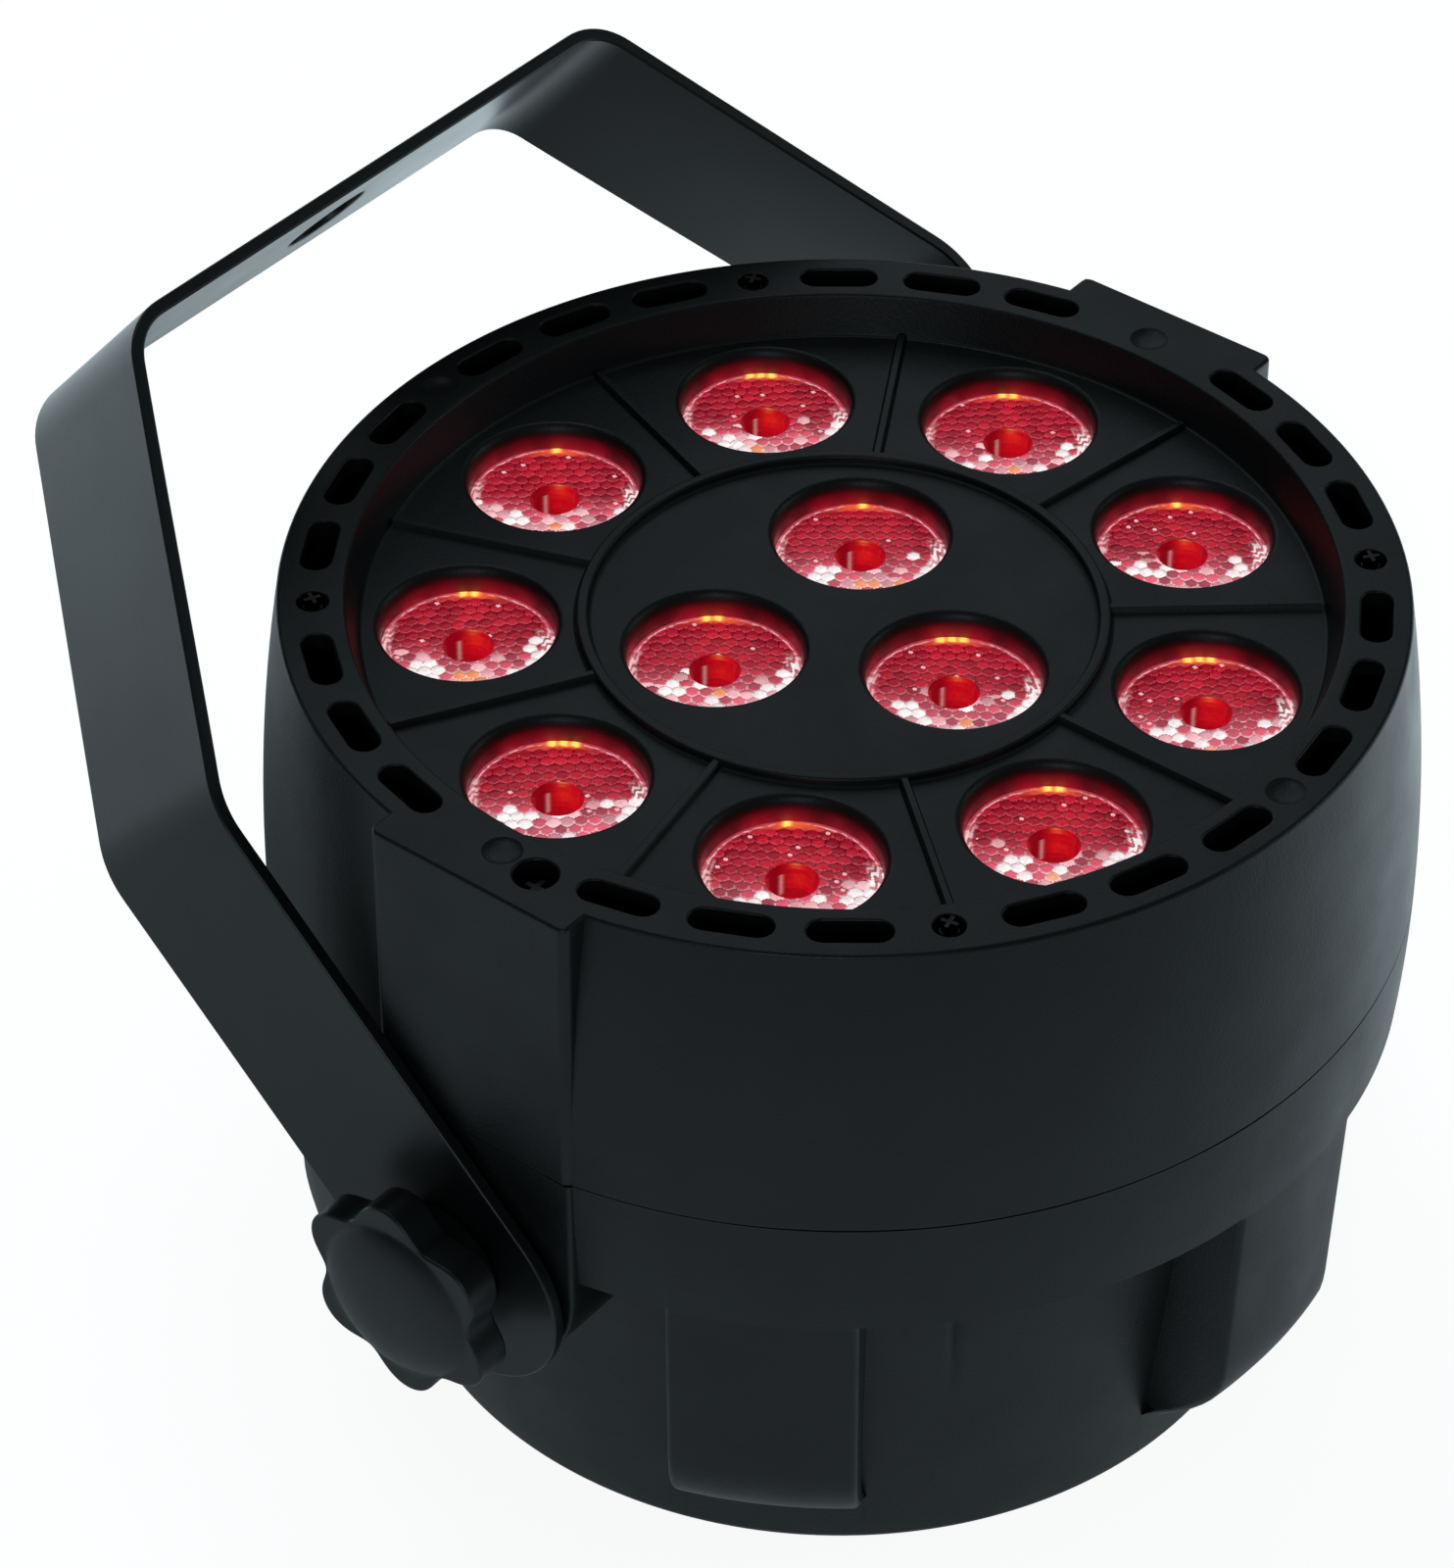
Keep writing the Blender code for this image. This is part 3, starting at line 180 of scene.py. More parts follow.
# ---- node materials -----------------------------------------------------------------------
class Shader:
    """Short names for the nodes of one material."""

    def __init__(self, name):
        self.material = bpy.data.materials.new(name)
        self.material.use_nodes = True
        self.tree = self.material.node_tree
        self.bsdf = self.tree.nodes["Principled BSDF"]
        self.out = self.tree.nodes["Material Output"]
        self.place = self.node("ShaderNodeNewGeometry").outputs["Position"]

    def node(self, kind, **values):
        made = self.tree.nodes.new(kind)
        for key, value in values.items():
            setattr(made, key, value)
        return made

    def link(self, source, target):
        self.tree.links.new(source, target)

    def feed(self, made, **inputs):
        """Sets a node's inputs by name, from numbers or from other nodes."""
        for key, value in inputs.items():
            self.put(made.inputs[key.replace("_", " ")], value)
        return made

    def put(self, target, value):
        if hasattr(value, "links") or hasattr(value, "is_linked"):
            self.link(value, target)
        else:
            target.default_value = value

    def set(self, **values):
        self.feed(self.bsdf, **values)

    def noise(self, scale, detail=3.0, rough=0.55, stretch=None):
        made = self.node("ShaderNodeTexNoise")
        place = self.stretched(stretch)
        return self.feed(made, Scale=scale, Detail=detail, Roughness=rough, Vector=place).outputs["Fac"]

    def stretched(self, stretch):
        if stretch is None:
            return self.place
        mapping = self.node("ShaderNodeMapping")
        return self.feed(mapping, Scale=stretch, Vector=self.place).outputs["Vector"]

    def voronoi(self, scale):
        made = self.node("ShaderNodeTexVoronoi", feature="F1")
        return self.feed(made, Scale=scale, Vector=self.place).outputs["Distance"]

    def ramp(self, factor, stops):
        made = self.node("ShaderNodeValToRGB")
        elements = made.color_ramp.elements
        while len(elements) < len(stops):
            elements.new(0.5)
        for element, (position, colour) in zip(elements, stops):
            element.position = position
            if not isinstance(colour, tuple):
                colour = (colour, colour, colour)
            element.color = (*colour, 1.0)
        self.link(factor, made.inputs["Fac"])
        return made.outputs["Color"]

    def mix(self, factor, a, b, blend="MIX"):
        made = self.node("ShaderNodeMix", data_type="RGBA", blend_type=blend)
        self.put(made.inputs["Factor"], factor)
        for slot, value in ((6, a), (7, b)):
            if isinstance(value, tuple) and len(value) == 3:
                value = (*value, 1.0)
            self.put(made.inputs[slot], value)
        return made.outputs[2]

    def math(self, operation, a, b=0.0):
        made = self.node("ShaderNodeMath", operation=operation)
        self.put(made.inputs[0], a)
        self.put(made.inputs[1], b)
        return made.outputs[0]

    def bump(self, height, strength, distance, under=None):
        made = self.feed(self.node("ShaderNodeBump"), Strength=strength, Distance=distance, Height=height)
        if under is not None:
            self.link(under, made.inputs["Normal"])
        return made.outputs["Normal"]

    def edge(self, radius):
        """Near 1 on edges and corners: the mask for a painted highlight along them."""
        bevel = self.feed(self.node("ShaderNodeBevel", samples=4), Radius=radius)
        geometry = self.node("ShaderNodeNewGeometry")
        along = self.vector("DOT_PRODUCT", bevel.outputs["Normal"], geometry.outputs["Normal"])
        return self.ramp(self.math("SUBTRACT", 1.0, along), [(0.02, 0.0), (0.22, 1.0)])

    def vector(self, operation, a, b):
        """The number that comes from two vectors: a dot product or a distance."""
        made = self.node("ShaderNodeVectorMath", operation=operation)
        self.put(made.inputs[0], a)
        self.put(made.inputs[1], b)
        return made.outputs["Value"]

    def glow(self, colour):
        self.feed(self.bsdf, Emission_Color=colour, Emission_Strength=1.0)

    def painted(self):
        """The light painted on the mesh itself."""
        return self.node("ShaderNodeAttribute", attribute_name="glow").outputs["Color"]

    def shader(self, kind, **inputs):
        return self.feed(self.node(kind), **inputs).outputs[0]


def casing_material():
    """Black moulded plastic with a fine spark-eroded grain, a little dust and dull patches."""
    s = Shader("casing_plastic")
    grain = s.noise(2600.0, 2.0, 0.6)
    pits = s.voronoi(1900.0)
    patch = s.noise(38.0, 4.0)
    colour = s.ramp(patch, [(0.30, CASING_DARK), (0.72, CASING_LIGHT)])
    speck = s.ramp(s.voronoi(420.0), [(0.035, 1.0), (0.055, 0.0)])
    rare = s.ramp(s.noise(55.0, 2.0), [(0.66, 0.0), (0.74, 1.0)])
    dust = s.math("MULTIPLY", speck, rare)
    colour = s.mix(s.math("MULTIPLY", dust, 0.5), colour, (0.11, 0.12, 0.12))
    # painted highlight: edges and corners are lightened, standing in for the light they catch
    edge_highlight_share = s.math("MULTIPLY", s.edge(0.0005), 0.35)
    colour = s.mix(edge_highlight_share, colour, (0.040, 0.045, 0.048))
    rough = s.ramp(s.noise(90.0, 3.0), [(0.25, CASING_ROUGH - 0.04), (0.75, CASING_ROUGH + 0.06)])
    fine = s.bump(grain, 0.35, 0.00008)
    s.set(Base_Color=colour, Roughness=rough, Normal=s.bump(pits, 0.25, 0.00006, fine))
    s.set(Specular_IOR_Level=CASING_SPECULAR)
    s.glow(s.painted())
    return s.material


def coated_steel_material():
    """Satin black powder coat: a faint orange peel, a few fine scuffs and a painted highlight along its edges."""
    s = Shader("yoke_powder_coat")
    peel = s.noise(900.0, 2.0, 0.5)
    scuff = s.noise(60.0, 5.0, 0.7, (1.0, 14.0, 14.0))
    colour = s.ramp(s.noise(30.0, 3.0), [(0.3, (0.0042, 0.0060, 0.0068)), (0.7, (0.0062, 0.0082, 0.0092))])
    scratch = s.ramp(scuff, [(0.70, 0.0), (0.78, 1.0)])
    colour = s.mix(s.math("MULTIPLY", scratch, 0.10), colour, (0.08, 0.085, 0.09))
    # painted highlight: edges and corners are lightened, standing in for the light they catch
    colour = s.mix(s.math("MULTIPLY", s.edge(0.0004), 0.55), colour, (0.10, 0.11, 0.115))
    rough = s.ramp(s.noise(45.0, 4.0), [(0.25, 0.30), (0.75, 0.38)])
    s.set(Base_Color=colour, Roughness=rough, Normal=s.bump(peel, 0.18, 0.00006))
    s.set(Specular_IOR_Level=0.5)
    return s.material


def knob_material():
    """Smoother black moulding, polished by fingers on its crown and lobes."""
    s = Shader("knob_plastic")
    grain = s.noise(1500.0, 2.0, 0.5)
    smear = s.noise(120.0, 4.0, 0.65)
    colour = s.ramp(s.noise(60.0, 3.0), [(0.3, (0.0050, 0.0066, 0.0074)), (0.7, (0.0075, 0.0095, 0.0105))])
    speck = s.ramp(s.voronoi(700.0), [(0.03, 1.0), (0.05, 0.0)])
    colour = s.mix(s.math("MULTIPLY", speck, 0.20), colour, (0.10, 0.10, 0.10))
    # painted highlight: edges and corners are lightened, standing in for the light they catch
    colour = s.mix(s.math("MULTIPLY", s.edge(0.0005), 0.3), colour, (0.05, 0.053, 0.055))
    rough = s.ramp(smear, [(0.25, 0.30), (0.75, 0.42)])
    s.set(Base_Color=colour, Roughness=rough, Normal=s.bump(grain, 0.12, 0.00005))
    s.set(Specular_IOR_Level=0.5)
    return s.material


def metal_material(name, dark, light, roughness, scale=260.0):
    s = Shader(name)
    turned = s.noise(scale, 4.0, 0.6)
    colour = s.ramp(turned, [(0.3, dark), (0.7, light)])
    # painted highlight: a lighter colour laid along edges and corners, standing in for the light they catch
    edge_highlight_colour = tuple(min(1.0, 1.6 * c + 0.05) for c in light)
    colour = s.mix(s.math("MULTIPLY", s.edge(0.0003), 0.4), colour, edge_highlight_colour)
    rough = s.ramp(s.noise(scale * 0.6, 3.0), [(0.25, roughness - 0.06), (0.75, roughness + 0.08)])
    s.set(Base_Color=colour, Roughness=rough, Metallic=1.0)
    s.set(Normal=s.bump(turned, 0.15, 0.00005))
    return s.material


def moulded_material(name, dark, light, roughness, grain=1400.0, strength=0.2):
    s = Shader(name)
    colour = s.ramp(s.noise(70.0, 4.0), [(0.3, dark), (0.7, light)])
    # painted highlight: a lighter colour laid along edges and corners, standing in for the light they catch
    edge_highlight_colour = tuple(min(1.0, 1.5 * c + 0.03) for c in light)
    colour = s.mix(s.math("MULTIPLY", s.edge(0.0003), 0.35), colour, edge_highlight_colour)
    rough = s.ramp(s.noise(130.0, 3.0), [(0.25, roughness - 0.05), (0.75, roughness + 0.07)])
    s.set(Base_Color=colour, Roughness=rough)
    s.set(Normal=s.bump(s.noise(grain, 2.0), strength, 0.00006))
    return s.material


def board_material(name, mask, trace):
    """Solder mask over fine copper tracks."""
    s = Shader(name)
    brick = s.feed(s.node("ShaderNodeTexBrick"), Scale=260.0, Mortar_Size=0.03, Vector=s.place)
    colour = s.mix(brick.outputs["Fac"], mask, trace)
    blotch = s.ramp(s.noise(90.0, 3.0), [(0.35, 0.80), (0.7, 1.0)])
    colour = s.mix(1.0, colour, blotch, "MULTIPLY")
    s.set(Base_Color=colour, Roughness=s.ramp(s.noise(200.0), [(0.3, 0.30), (0.7, 0.42)]))
    s.set(Normal=s.bump(brick.outputs["Fac"], 0.3, 0.00004))
    return s.material


def lens_material():
    """Clear acrylic over a red emitter. Each bead's share of the light is in its faces."""
    s = Shader("lit_lens_acrylic")
    glow = s.painted()
    uneven = s.ramp(s.noise(1700.0, 3.0, 0.7), [(0.25, 0.75), (0.75, 1.15)])
    s.glow(s.mix(1.0, glow, uneven, "MULTIPLY"))
    tint = s.mix(0.08, (0.05, 0.001, 0.004), glow)
    s.set(Base_Color=tint, Roughness=s.ramp(s.noise(300.0), [(0.3, 0.12), (0.7, 0.22)]))
    s.set(Specular_IOR_Level=0.35)
    return s.material


def display_material():
    s = Shader("display_window")
    tint = s.ramp(s.noise(60.0, 3.0), [(0.3, (0.030, 0.006, 0.006)), (0.7, (0.045, 0.010, 0.009))])
    s.set(Base_Color=tint, Roughness=s.ramp(s.noise(220.0), [(0.3, 0.08), (0.7, 0.18)]))
    s.set(Normal=s.bump(s.noise(500.0), 0.05, 0.00003))
    return s.material


def floor_material():
    s = Shader("studio_paper")
    tone = s.ramp(s.noise(6.0, 3.0), [(0.3, FLOOR_TONE - 0.01), (0.7, FLOOR_TONE)])
    s.set(Base_Color=tone, Roughness=0.9, Specular_IOR_Level=0.1)
    s.set(Normal=s.bump(s.noise(900.0, 2.0), 0.04, 0.0001))
    away = s.vector("DOT_PRODUCT", s.place, FLOOR_BRIGHTER_TOWARDS)
    share = s.math("ADD", s.math("MULTIPLY", away, 2.8), 0.5)
    apart = s.math("MULTIPLY", s.vector("DISTANCE", s.place, (0.0, 0.0, 0.0)), 2.0)
    behind = s.vector("DISTANCE", s.place, FLOOR_SHADE)
    thrown = s.ramp(share, [(0.05, 0.27), (0.30, 0.28), (0.50, 0.47), (0.85, 1.0)])
    ring = s.ramp(apart, [(0.20, 0.64), (0.30, 0.72), (0.40, 0.85), (0.60, 0.60)])
    shade = s.ramp(behind, [(0.02, 0.05), (0.06, 0.25), (0.12, 0.70), (0.20, 1.0)])
    for factor in (ring, shade, COOL_LIGHT):
        thrown = s.mix(1.0, thrown, factor, "MULTIPLY")
    seen = s.node("ShaderNodeAddShader")
    s.link(s.bsdf.outputs[0], seen.inputs[0])
    s.link(s.shader("ShaderNodeEmission", Strength=FLOOR_LIFT), seen.inputs[1])
    far = s.shader("ShaderNodeEmission", Strength=FLOOR_FAR, Color=thrown)
    by_camera(s.tree, far, seen.outputs[0], s.out)
    return s.material


def by_camera(tree, hidden, seen, out):
    """What the camera sees differs from what lights the object."""
    path = tree.nodes.new("ShaderNodeLightPath")
    mix = tree.nodes.new("ShaderNodeMixShader")
    tree.links.new(path.outputs["Is Camera Ray"], mix.inputs[0])
    tree.links.new(hidden, mix.inputs[1])
    tree.links.new(seen, mix.inputs[2])
    tree.links.new(mix.outputs[0], out.inputs["Surface"])


def grey(level, warm=0.0):
    return (level, level * (1 - 0.3 * warm), level * (1 - warm))


def make_materials():
    return {
        "casing": casing_material(),
        "yoke": coated_steel_material(),
        "knob": knob_material(),
        "lens": lens_material(),
        "panel": moulded_material("rear_panel_paint", grey(0.013), grey(0.021), 0.5, 1100.0),
        "steel": metal_material("zinc_steel", grey(0.42, 0.03), grey(0.60, 0.03), 0.30),
        "black_screw": metal_material("blackened_steel", grey(0.021), grey(0.046), 0.36),
        "brass": metal_material("turned_brass", (0.50, 0.36, 0.14), (0.66, 0.50, 0.22), 0.28),
        "aluminium": metal_material("cast_aluminium", grey(0.56), grey(0.73), 0.42, 400.0),
        "tray": moulded_material("tray_plastic", grey(0.015), grey(0.030), 0.5),
        "white_board": board_material("white_solder_mask", grey(0.72, 0.03), grey(0.60, 0.05)),
        "green_board": board_material("green_solder_mask", (0.02, 0.15, 0.06), (0.05, 0.26, 0.11)),
        "component": moulded_material("component_case", grey(0.028), grey(0.053), 0.42),
        "display": display_material(),
        "button": moulded_material("button_rubber", grey(0.030), grey(0.055), 0.70, 700.0, 0.3),
        "socket": moulded_material("socket_plastic", grey(0.012), grey(0.024), 0.42),
        "wire": moulded_material("wire_sleeve", (0.22, 0.01, 0.01), (0.34, 0.02, 0.02), 0.48, 500.0, 0.3),
        "washer": moulded_material("friction_washer", grey(0.035), grey(0.070, 0.07), 0.78, 600.0, 0.5),
    }


# ---- mesh tools ---------------------------------------------------------------------------
def grid_mesh(points, close_rows=True, close_columns=True, caps=False):
    """Quads over an array of points (rows, columns, 3), joined round in one or both ways."""
    rows, columns, _ = points.shape
    bm = bmesh.new()
    verts = [[bm.verts.new(points[i, j]) for j in range(columns)] for i in range(rows)]
    for i in range(rows if close_rows else rows - 1):
        for j in range(columns if close_columns else columns - 1):
            a = verts[i][j]
            b = verts[i][(j + 1) % columns]
            c = verts[(i + 1) % rows][(j + 1) % columns]
            d = verts[(i + 1) % rows][j]
            bm.faces.new((a, b, c, d))
    if caps:
        bm.faces.new(verts[0])
        bm.faces.new(verts[-1])
    bmesh.ops.recalc_face_normals(bm, faces=bm.faces)
    return bm


def turned(profile, segments, wave=0.0):
    """The points of a (radius, height) outline turned round Z."""
    angles = np.arange(segments) * TAU / segments
    r = np.array([p[0] for p in profile])[:, None]
    z = np.array([p[1] for p in profile])[:, None]
    return np.stack([r * np.cos(angles), r * np.sin(angles), z + wave + 0 * angles], axis=2)


def lathe(profile, segments):
    """A turned solid with flat caps at both ends."""
    return grid_mesh(turned(profile, segments), close_rows=False, caps=True)


def arc(centre, radius, start, end, steps):
    """Points of an arc in a profile, by angle in degrees."""
    angles = np.radians(np.linspace(start, end, steps))
    return [(centre[0] + radius * math.cos(a), centre[1] + radius * math.sin(a)) for a in angles]


def stadium(length, width, steps=10):
    """A slot's outline, long across the radius it sits on."""
    half = (length - width) / 2
    return arc((0.0, half), width / 2, 0, 180, steps) + arc((0.0, -half), width / 2, 180, 360, steps)


def rectangle(low_x, high_x, half_y):
    return [(low_x, -half_y), (high_x, -half_y), (high_x, half_y), (low_x, half_y)]


def stacked(outlines_and_heights):
    """A capped solid through (outline, height) sections."""
    points = np.array([[(x, y, z) for x, y in outline] for outline, z in outlines_and_heights])
    return grid_mesh(points, close_rows=False, caps=True)


def grown(outline, amount):
    """An outline pushed outwards along its normals."""
    p = np.array(outline)
    along = np.roll(p, -1, axis=0) - np.roll(p, 1, axis=0)
    normal = np.stack([along[:, 1], -along[:, 0]], axis=1)
    normal /= np.linalg.norm(normal, axis=1)[:, None] + 1e-12
    return [tuple(q) for q in p + amount * normal]


def opening_cutter(outline, top, depth, edge):
    """Cuts a hole whose mouth at the top has a rounded edge."""
    sections = [(outline, top - depth), (outline, top - edge)]
    for share in (0.30, 0.60, 0.85, 1.0):
        turn = share * TAU / 4
        sections.append((grown(outline, edge * (1 - math.cos(turn))), top - edge * (1 - math.sin(turn))))
    sections.append((grown(outline, edge), top + 0.002))
    return stacked(sections)


def moved(bm, matrix):
    bmesh.ops.transform(bm, matrix=matrix, verts=bm.verts)
    return bm


def merged(meshes):
    whole = bmesh.new()
    for bm in meshes:
        part = bpy.data.meshes.new("part")
        bm.to_mesh(part)
        bm.free()
        whole.from_mesh(part)
        bpy.data.meshes.remove(part)
    return whole


def linked(name, data):
    obj = bpy.data.objects.new(name, data)
    bpy.context.scene.collection.objects.link(obj)
    return obj


def new_object(name, bm):
    mesh = bpy.data.meshes.new(name)
    bm.to_mesh(mesh)
    bm.free()
    return linked(name, mesh)


def combined(obj, steps):
    """Joins or cuts the object with each mesh in turn, and keeps only the result."""
    for operation, bm in steps:
        helper = new_object("helper", bm)
        modifier = obj.modifiers.new("step", "BOOLEAN")
        modifier.operation = operation
        modifier.object = helper
        modifier.solver = "EXACT"
        bpy.context.view_layer.update()
        result = bpy.data.meshes.new_from_object(obj.evaluated_get(bpy.context.evaluated_depsgraph_get()))
        obj.modifiers.clear()
        obj.data = result
        bpy.data.objects.remove(helper)


def finished(obj, material, body, nodes, smooth=32.0, weighted=True):
    """Shading, finish and place in the frame for one piece."""
    obj.data.transform(at(*AXIS) @ obj.matrix_basis)
    obj.matrix_basis = Matrix.Identity(4)
    obj.data.materials.clear()
    obj.data.materials.append(material)
    obj.data.shade_smooth()
    obj.data.set_sharp_from_angle(angle=math.radians(smooth))
    if weighted:
        normals = obj.modifiers.new("even_shading", "WEIGHTED_NORMAL")
        normals.keep_sharp = True
        normals.weight = 60
    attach(obj, body)
    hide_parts(*nodes)


def spun(angle):
    return Matrix.Rotation(angle, 4, "Z")


def at(x, y, z=0.0):
    return Matrix.Translation((x, y, z))


def on_circle(radius, angle):
    return radius * math.cos(angle), radius * math.sin(angle)


def lens_places():
    outer = [(f"lens_outer_{i + 1}", *on_circle(LENS_OUTER_R, TAU / 4 + TAU * i / 9)) for i in range(9)]
    inner = [(f"lens_inner_{i + 1}", *on_circle(LENS_INNER_R, TAU / 12 + TAU * i / 3)) for i in range(3)]
    return outer + inner


def rim_screw_places():
    turns = (RIM_SCREW_ANGLE, 180 - RIM_SCREW_ANGLE, 180 + RIM_SCREW_ANGLE, -RIM_SCREW_ANGLE)
    return [on_circle(SLOT_RING_R, math.radians(turn)) for turn in turns]


# ---- front casing -------------------------------------------------------------------------
def front_outside_r(z):
    share = (z - SPLIT_Z) / (HEIGHT - SPLIT_Z)
    return BULGE_R - (BULGE_R - RIM_R) * share**2


def front_profile():
    edge = 0.0006
    lip = 0.0005
    outside = [(front_outside_r(z), z) for z in np.linspace(SPLIT_Z + 0.0001, HEIGHT - edge, 14)]
    top_r = front_outside_r(HEIGHT - edge)
    rim = arc((top_r - edge, HEIGHT - edge), edge, 15, 90, 5)
    rim += arc((RIM_INNER_R + lip, HEIGHT - lip), lip, 90, 170, 5)
    foot = arc((PANEL_R - 0.0003, PANEL_Z + 0.0005), 0.0005, -18, -88, 4)
    ring_out = RING_R + 0.0008
    ring_in = RING_R - 0.0008
    top = PANEL_Z + 0.0012
    round_r = 0.0004
    ring = [(ring_out + 0.0004, PANEL_Z), (ring_out + 0.0001, PANEL_Z + 0.0002)]
    ring += arc((ring_out - round_r, top - round_r), round_r, 10, 90, 4)
    ring += arc((ring_in + round_r, top - round_r), round_r, 90, 170, 4)
    ring += [(ring_in - 0.0001, PANEL_Z + 0.0002), (ring_in - 0.0004, PANEL_Z)]
    under = PANEL_Z - PANEL_T
    back = [(0.010, PANEL_Z), (0.010, under), (PANEL_R + 0.002, under)]
    back += [(RIM_INNER_R + 0.002, HEIGHT - WALL), (RIM_R - WALL, HEIGHT - WALL)]
    back += [(front_outside_r(z) - WALL, z) for z in np.linspace(0.105, SPLIT_Z + 0.0001, 4)]
    return outside + rim + foot + ring, back


def front_body():
    """The turned part of the casing, panel included."""
    top, back = front_profile()
    segments = 300
    outer = top + [back[0]]
    inner = back[1:]
    angles = np.arange(segments) * TAU / segments
    profile = outer + inner
    z = np.array([p[1] for p in profile])[:, None]
    wave = 0.00005 * np.sin(3 * angles + 0.6) + 0.00004 * np.sin(7 * angles) + 0.00003 * np.sin(17 * angles)
    low = np.clip(1 - (z - SPLIT_Z) / 0.002, 0, 1)
    bm = grid_mesh(turned(profile, segments, low * wave))
    wall = [f for f in bm.faces if all(abs(v.co.xy.length - 0.010) < 1e-6 for v in f.verts)]
    bmesh.ops.delete(bm, geom=wall, context="FACES_ONLY")
    open_edges = [e for e in bm.edges if e.is_boundary]
    bmesh.ops.holes_fill(bm, edges=open_edges, sides=0)
    bmesh.ops.recalc_face_normals(bm, faces=bm.faces)
    return bm


def pad_outline(face_x, side):
    """Seen from above: square against the wall, rounded at its two outer corners."""
    inner = 0.0715
    radius = 0.0014
    points = [(inner, -PAD_HALF)]
    points += arc((face_x - radius, -PAD_HALF + radius), radius, -90, 0, 5)
    points += arc((face_x - radius, PAD_HALF - radius), radius, 0, 90, 5)
    points.append((inner, PAD_HALF))
    return [(side * x, y) for x, y in points]


def front_pad(side):
    edge = 0.0006
    sections = []
    heights = [SPLIT_Z + 0.0001, HEIGHT - edge]
    insets = [0.0, 0.0]
    for share in (0.35, 0.7, 1.0):
        turn = share * TAU / 4
        heights.append(HEIGHT - edge + edge * math.sin(turn) * 0.999)
        insets.append(edge * (1 - math.cos(turn)))
    for z, inset in zip(heights, insets):
        share = (z - SPLIT_Z) / (HEIGHT - SPLIT_Z)
        face_x = PAD_X - (PAD_X - PAD_TOP_X) * share
        outline = pad_outline(face_x - inset, side)
        limit = PAD_HALF - inset
        sections.append(([(x, max(-limit, min(limit, y))) for x, y in outline], z))
    return stacked(sections)


def wall_trim(low, high, low_x, high_x, half):
    """Takes the swell of the wall off in front of the flat pads."""
    trims = []
    for side in (-1, 1):
        ends = ((low, low_x), (high, high_x))
        trims.append(stacked([(rectangle(side * x, side * 0.09, half), z) for z, x in ends]))
    return merged(trims)


def lens_hole_cutters():
    cutters = []
    for _, x, y in lens_places():
        profile = [(HOLE_R, PANEL_Z - 1.5 * PANEL_T)]
        for turn in np.linspace(0.0, TAU / 4, 10):
            r = HOLE_R + HOLE_ROUND * (1 - math.cos(turn))
            profile.append((r, PANEL_Z - HOLE_ROUND_DEPTH * (1 - math.sin(turn))))
        profile.append((HOLE_R + HOLE_ROUND, PANEL_Z + 0.003))
        cutters.append(moved(lathe(profile, 96), at(x, y)))
    return merged(cutters)


def rib(angle):
    """A low rounded rib from the ring to the inner wall of the rim."""
    half = 0.0007
    high = 0.0009
    across = [(-half - 0.0003, -0.0005), (-half - 0.0001, 0.00012), (-half + 0.0001, high * 0.7)]
    across += [(-half * 0.55, high), (half * 0.55, high), (half - 0.0001, high * 0.7)]
    across += [(half + 0.0001, 0.00012), (half + 0.0003, -0.0005)]
    rows = [[(x, y, PANEL_Z + z) for y, z in across] for x in (RING_R + 0.0002, PANEL_R - 0.0003)]
    return moved(grid_mesh(np.array(rows), close_rows=False, caps=True), spun(angle))


def slot_cutters():
    cutters = []
    for angle in SLOT_ANGLES:
        for turn in (angle, 180 - angle, 180 + angle, -angle):
            cutter = opening_cutter(stadium(SLOT_LENGTH, SLOT_WIDTH), HEIGHT, 0.006, 0.00035)
            cutters.append(moved(cutter, spun(math.radians(turn)) @ at(SLOT_RING_R, 0.0)))
    return merged(cutters)


def round_opening(x, y, radius, depth, edge=0.0003):
    outline = [(radius * math.cos(a), radius * math.sin(a)) for a in np.arange(40) * TAU / 40]
    return moved(opening_cutter(outline, HEIGHT, depth, edge), at(x, y))


def dished_recess(x, y):
    """A shallow bowl with a crisp edge, left by an ejector pin."""
    profile = [(0.0002, HEIGHT - 0.00055), (0.0012, HEIGHT - 0.00050), (0.0022, HEIGHT - 0.00030)]
    profile += [(0.00255, HEIGHT - 0.00008), (0.00275, HEIGHT + 0.00005), (0.00275, HEIGHT + 0.002)]
    return moved(lathe(profile, 40), at(x, y))


def glow_attribute(mesh, colours):
    layer = mesh.attributes.new("glow", "FLOAT_COLOR", "POINT")
    rgba = np.ones((len(mesh.vertices), 4), np.float32)
    rgba[:, :3] = colours
    layer.data.foreach_set("color", rgba.ravel())


def vertex_array(mesh):
    co = np.zeros(len(mesh.vertices) * 3, np.float32)
    mesh.vertices.foreach_get("co", co)
    return co.reshape(-1, 3).astype(float)


def hole_glow(co):
    """Red light that the lenses throw on the walls of their openings."""
    lit = np.zeros((len(co), 3))
    for index, (_, x, y) in enumerate(lens_places()):
        d = np.hypot(co[:, 0] - x, co[:, 1] - y)
        near = (d < HOLE_R + HOLE_ROUND + 0.0001) & (co[:, 2] > PANEL_Z - 0.006)
        depth = np.clip((PANEL_Z - HOLE_ROUND_DEPTH * 0.60 - co[:, 2]) / 0.0020, 0, 1)
        angle = np.arctan2(co[:, 1] - y, co[:, 0] - x)
        uneven = 0.75 + 0.3 * np.sin(5 * angle + index) + 0.25 * np.sin(13 * angle + 2 * index)
        across = np.cos(angle - VIEW_FAR_ANGLE)
        power = (depth**1.2) * (uneven + 0.5 * np.clip(across, 0, 1) ** 6) * near
        lit += power[:, None] * HOLE_LIGHT
    return lit


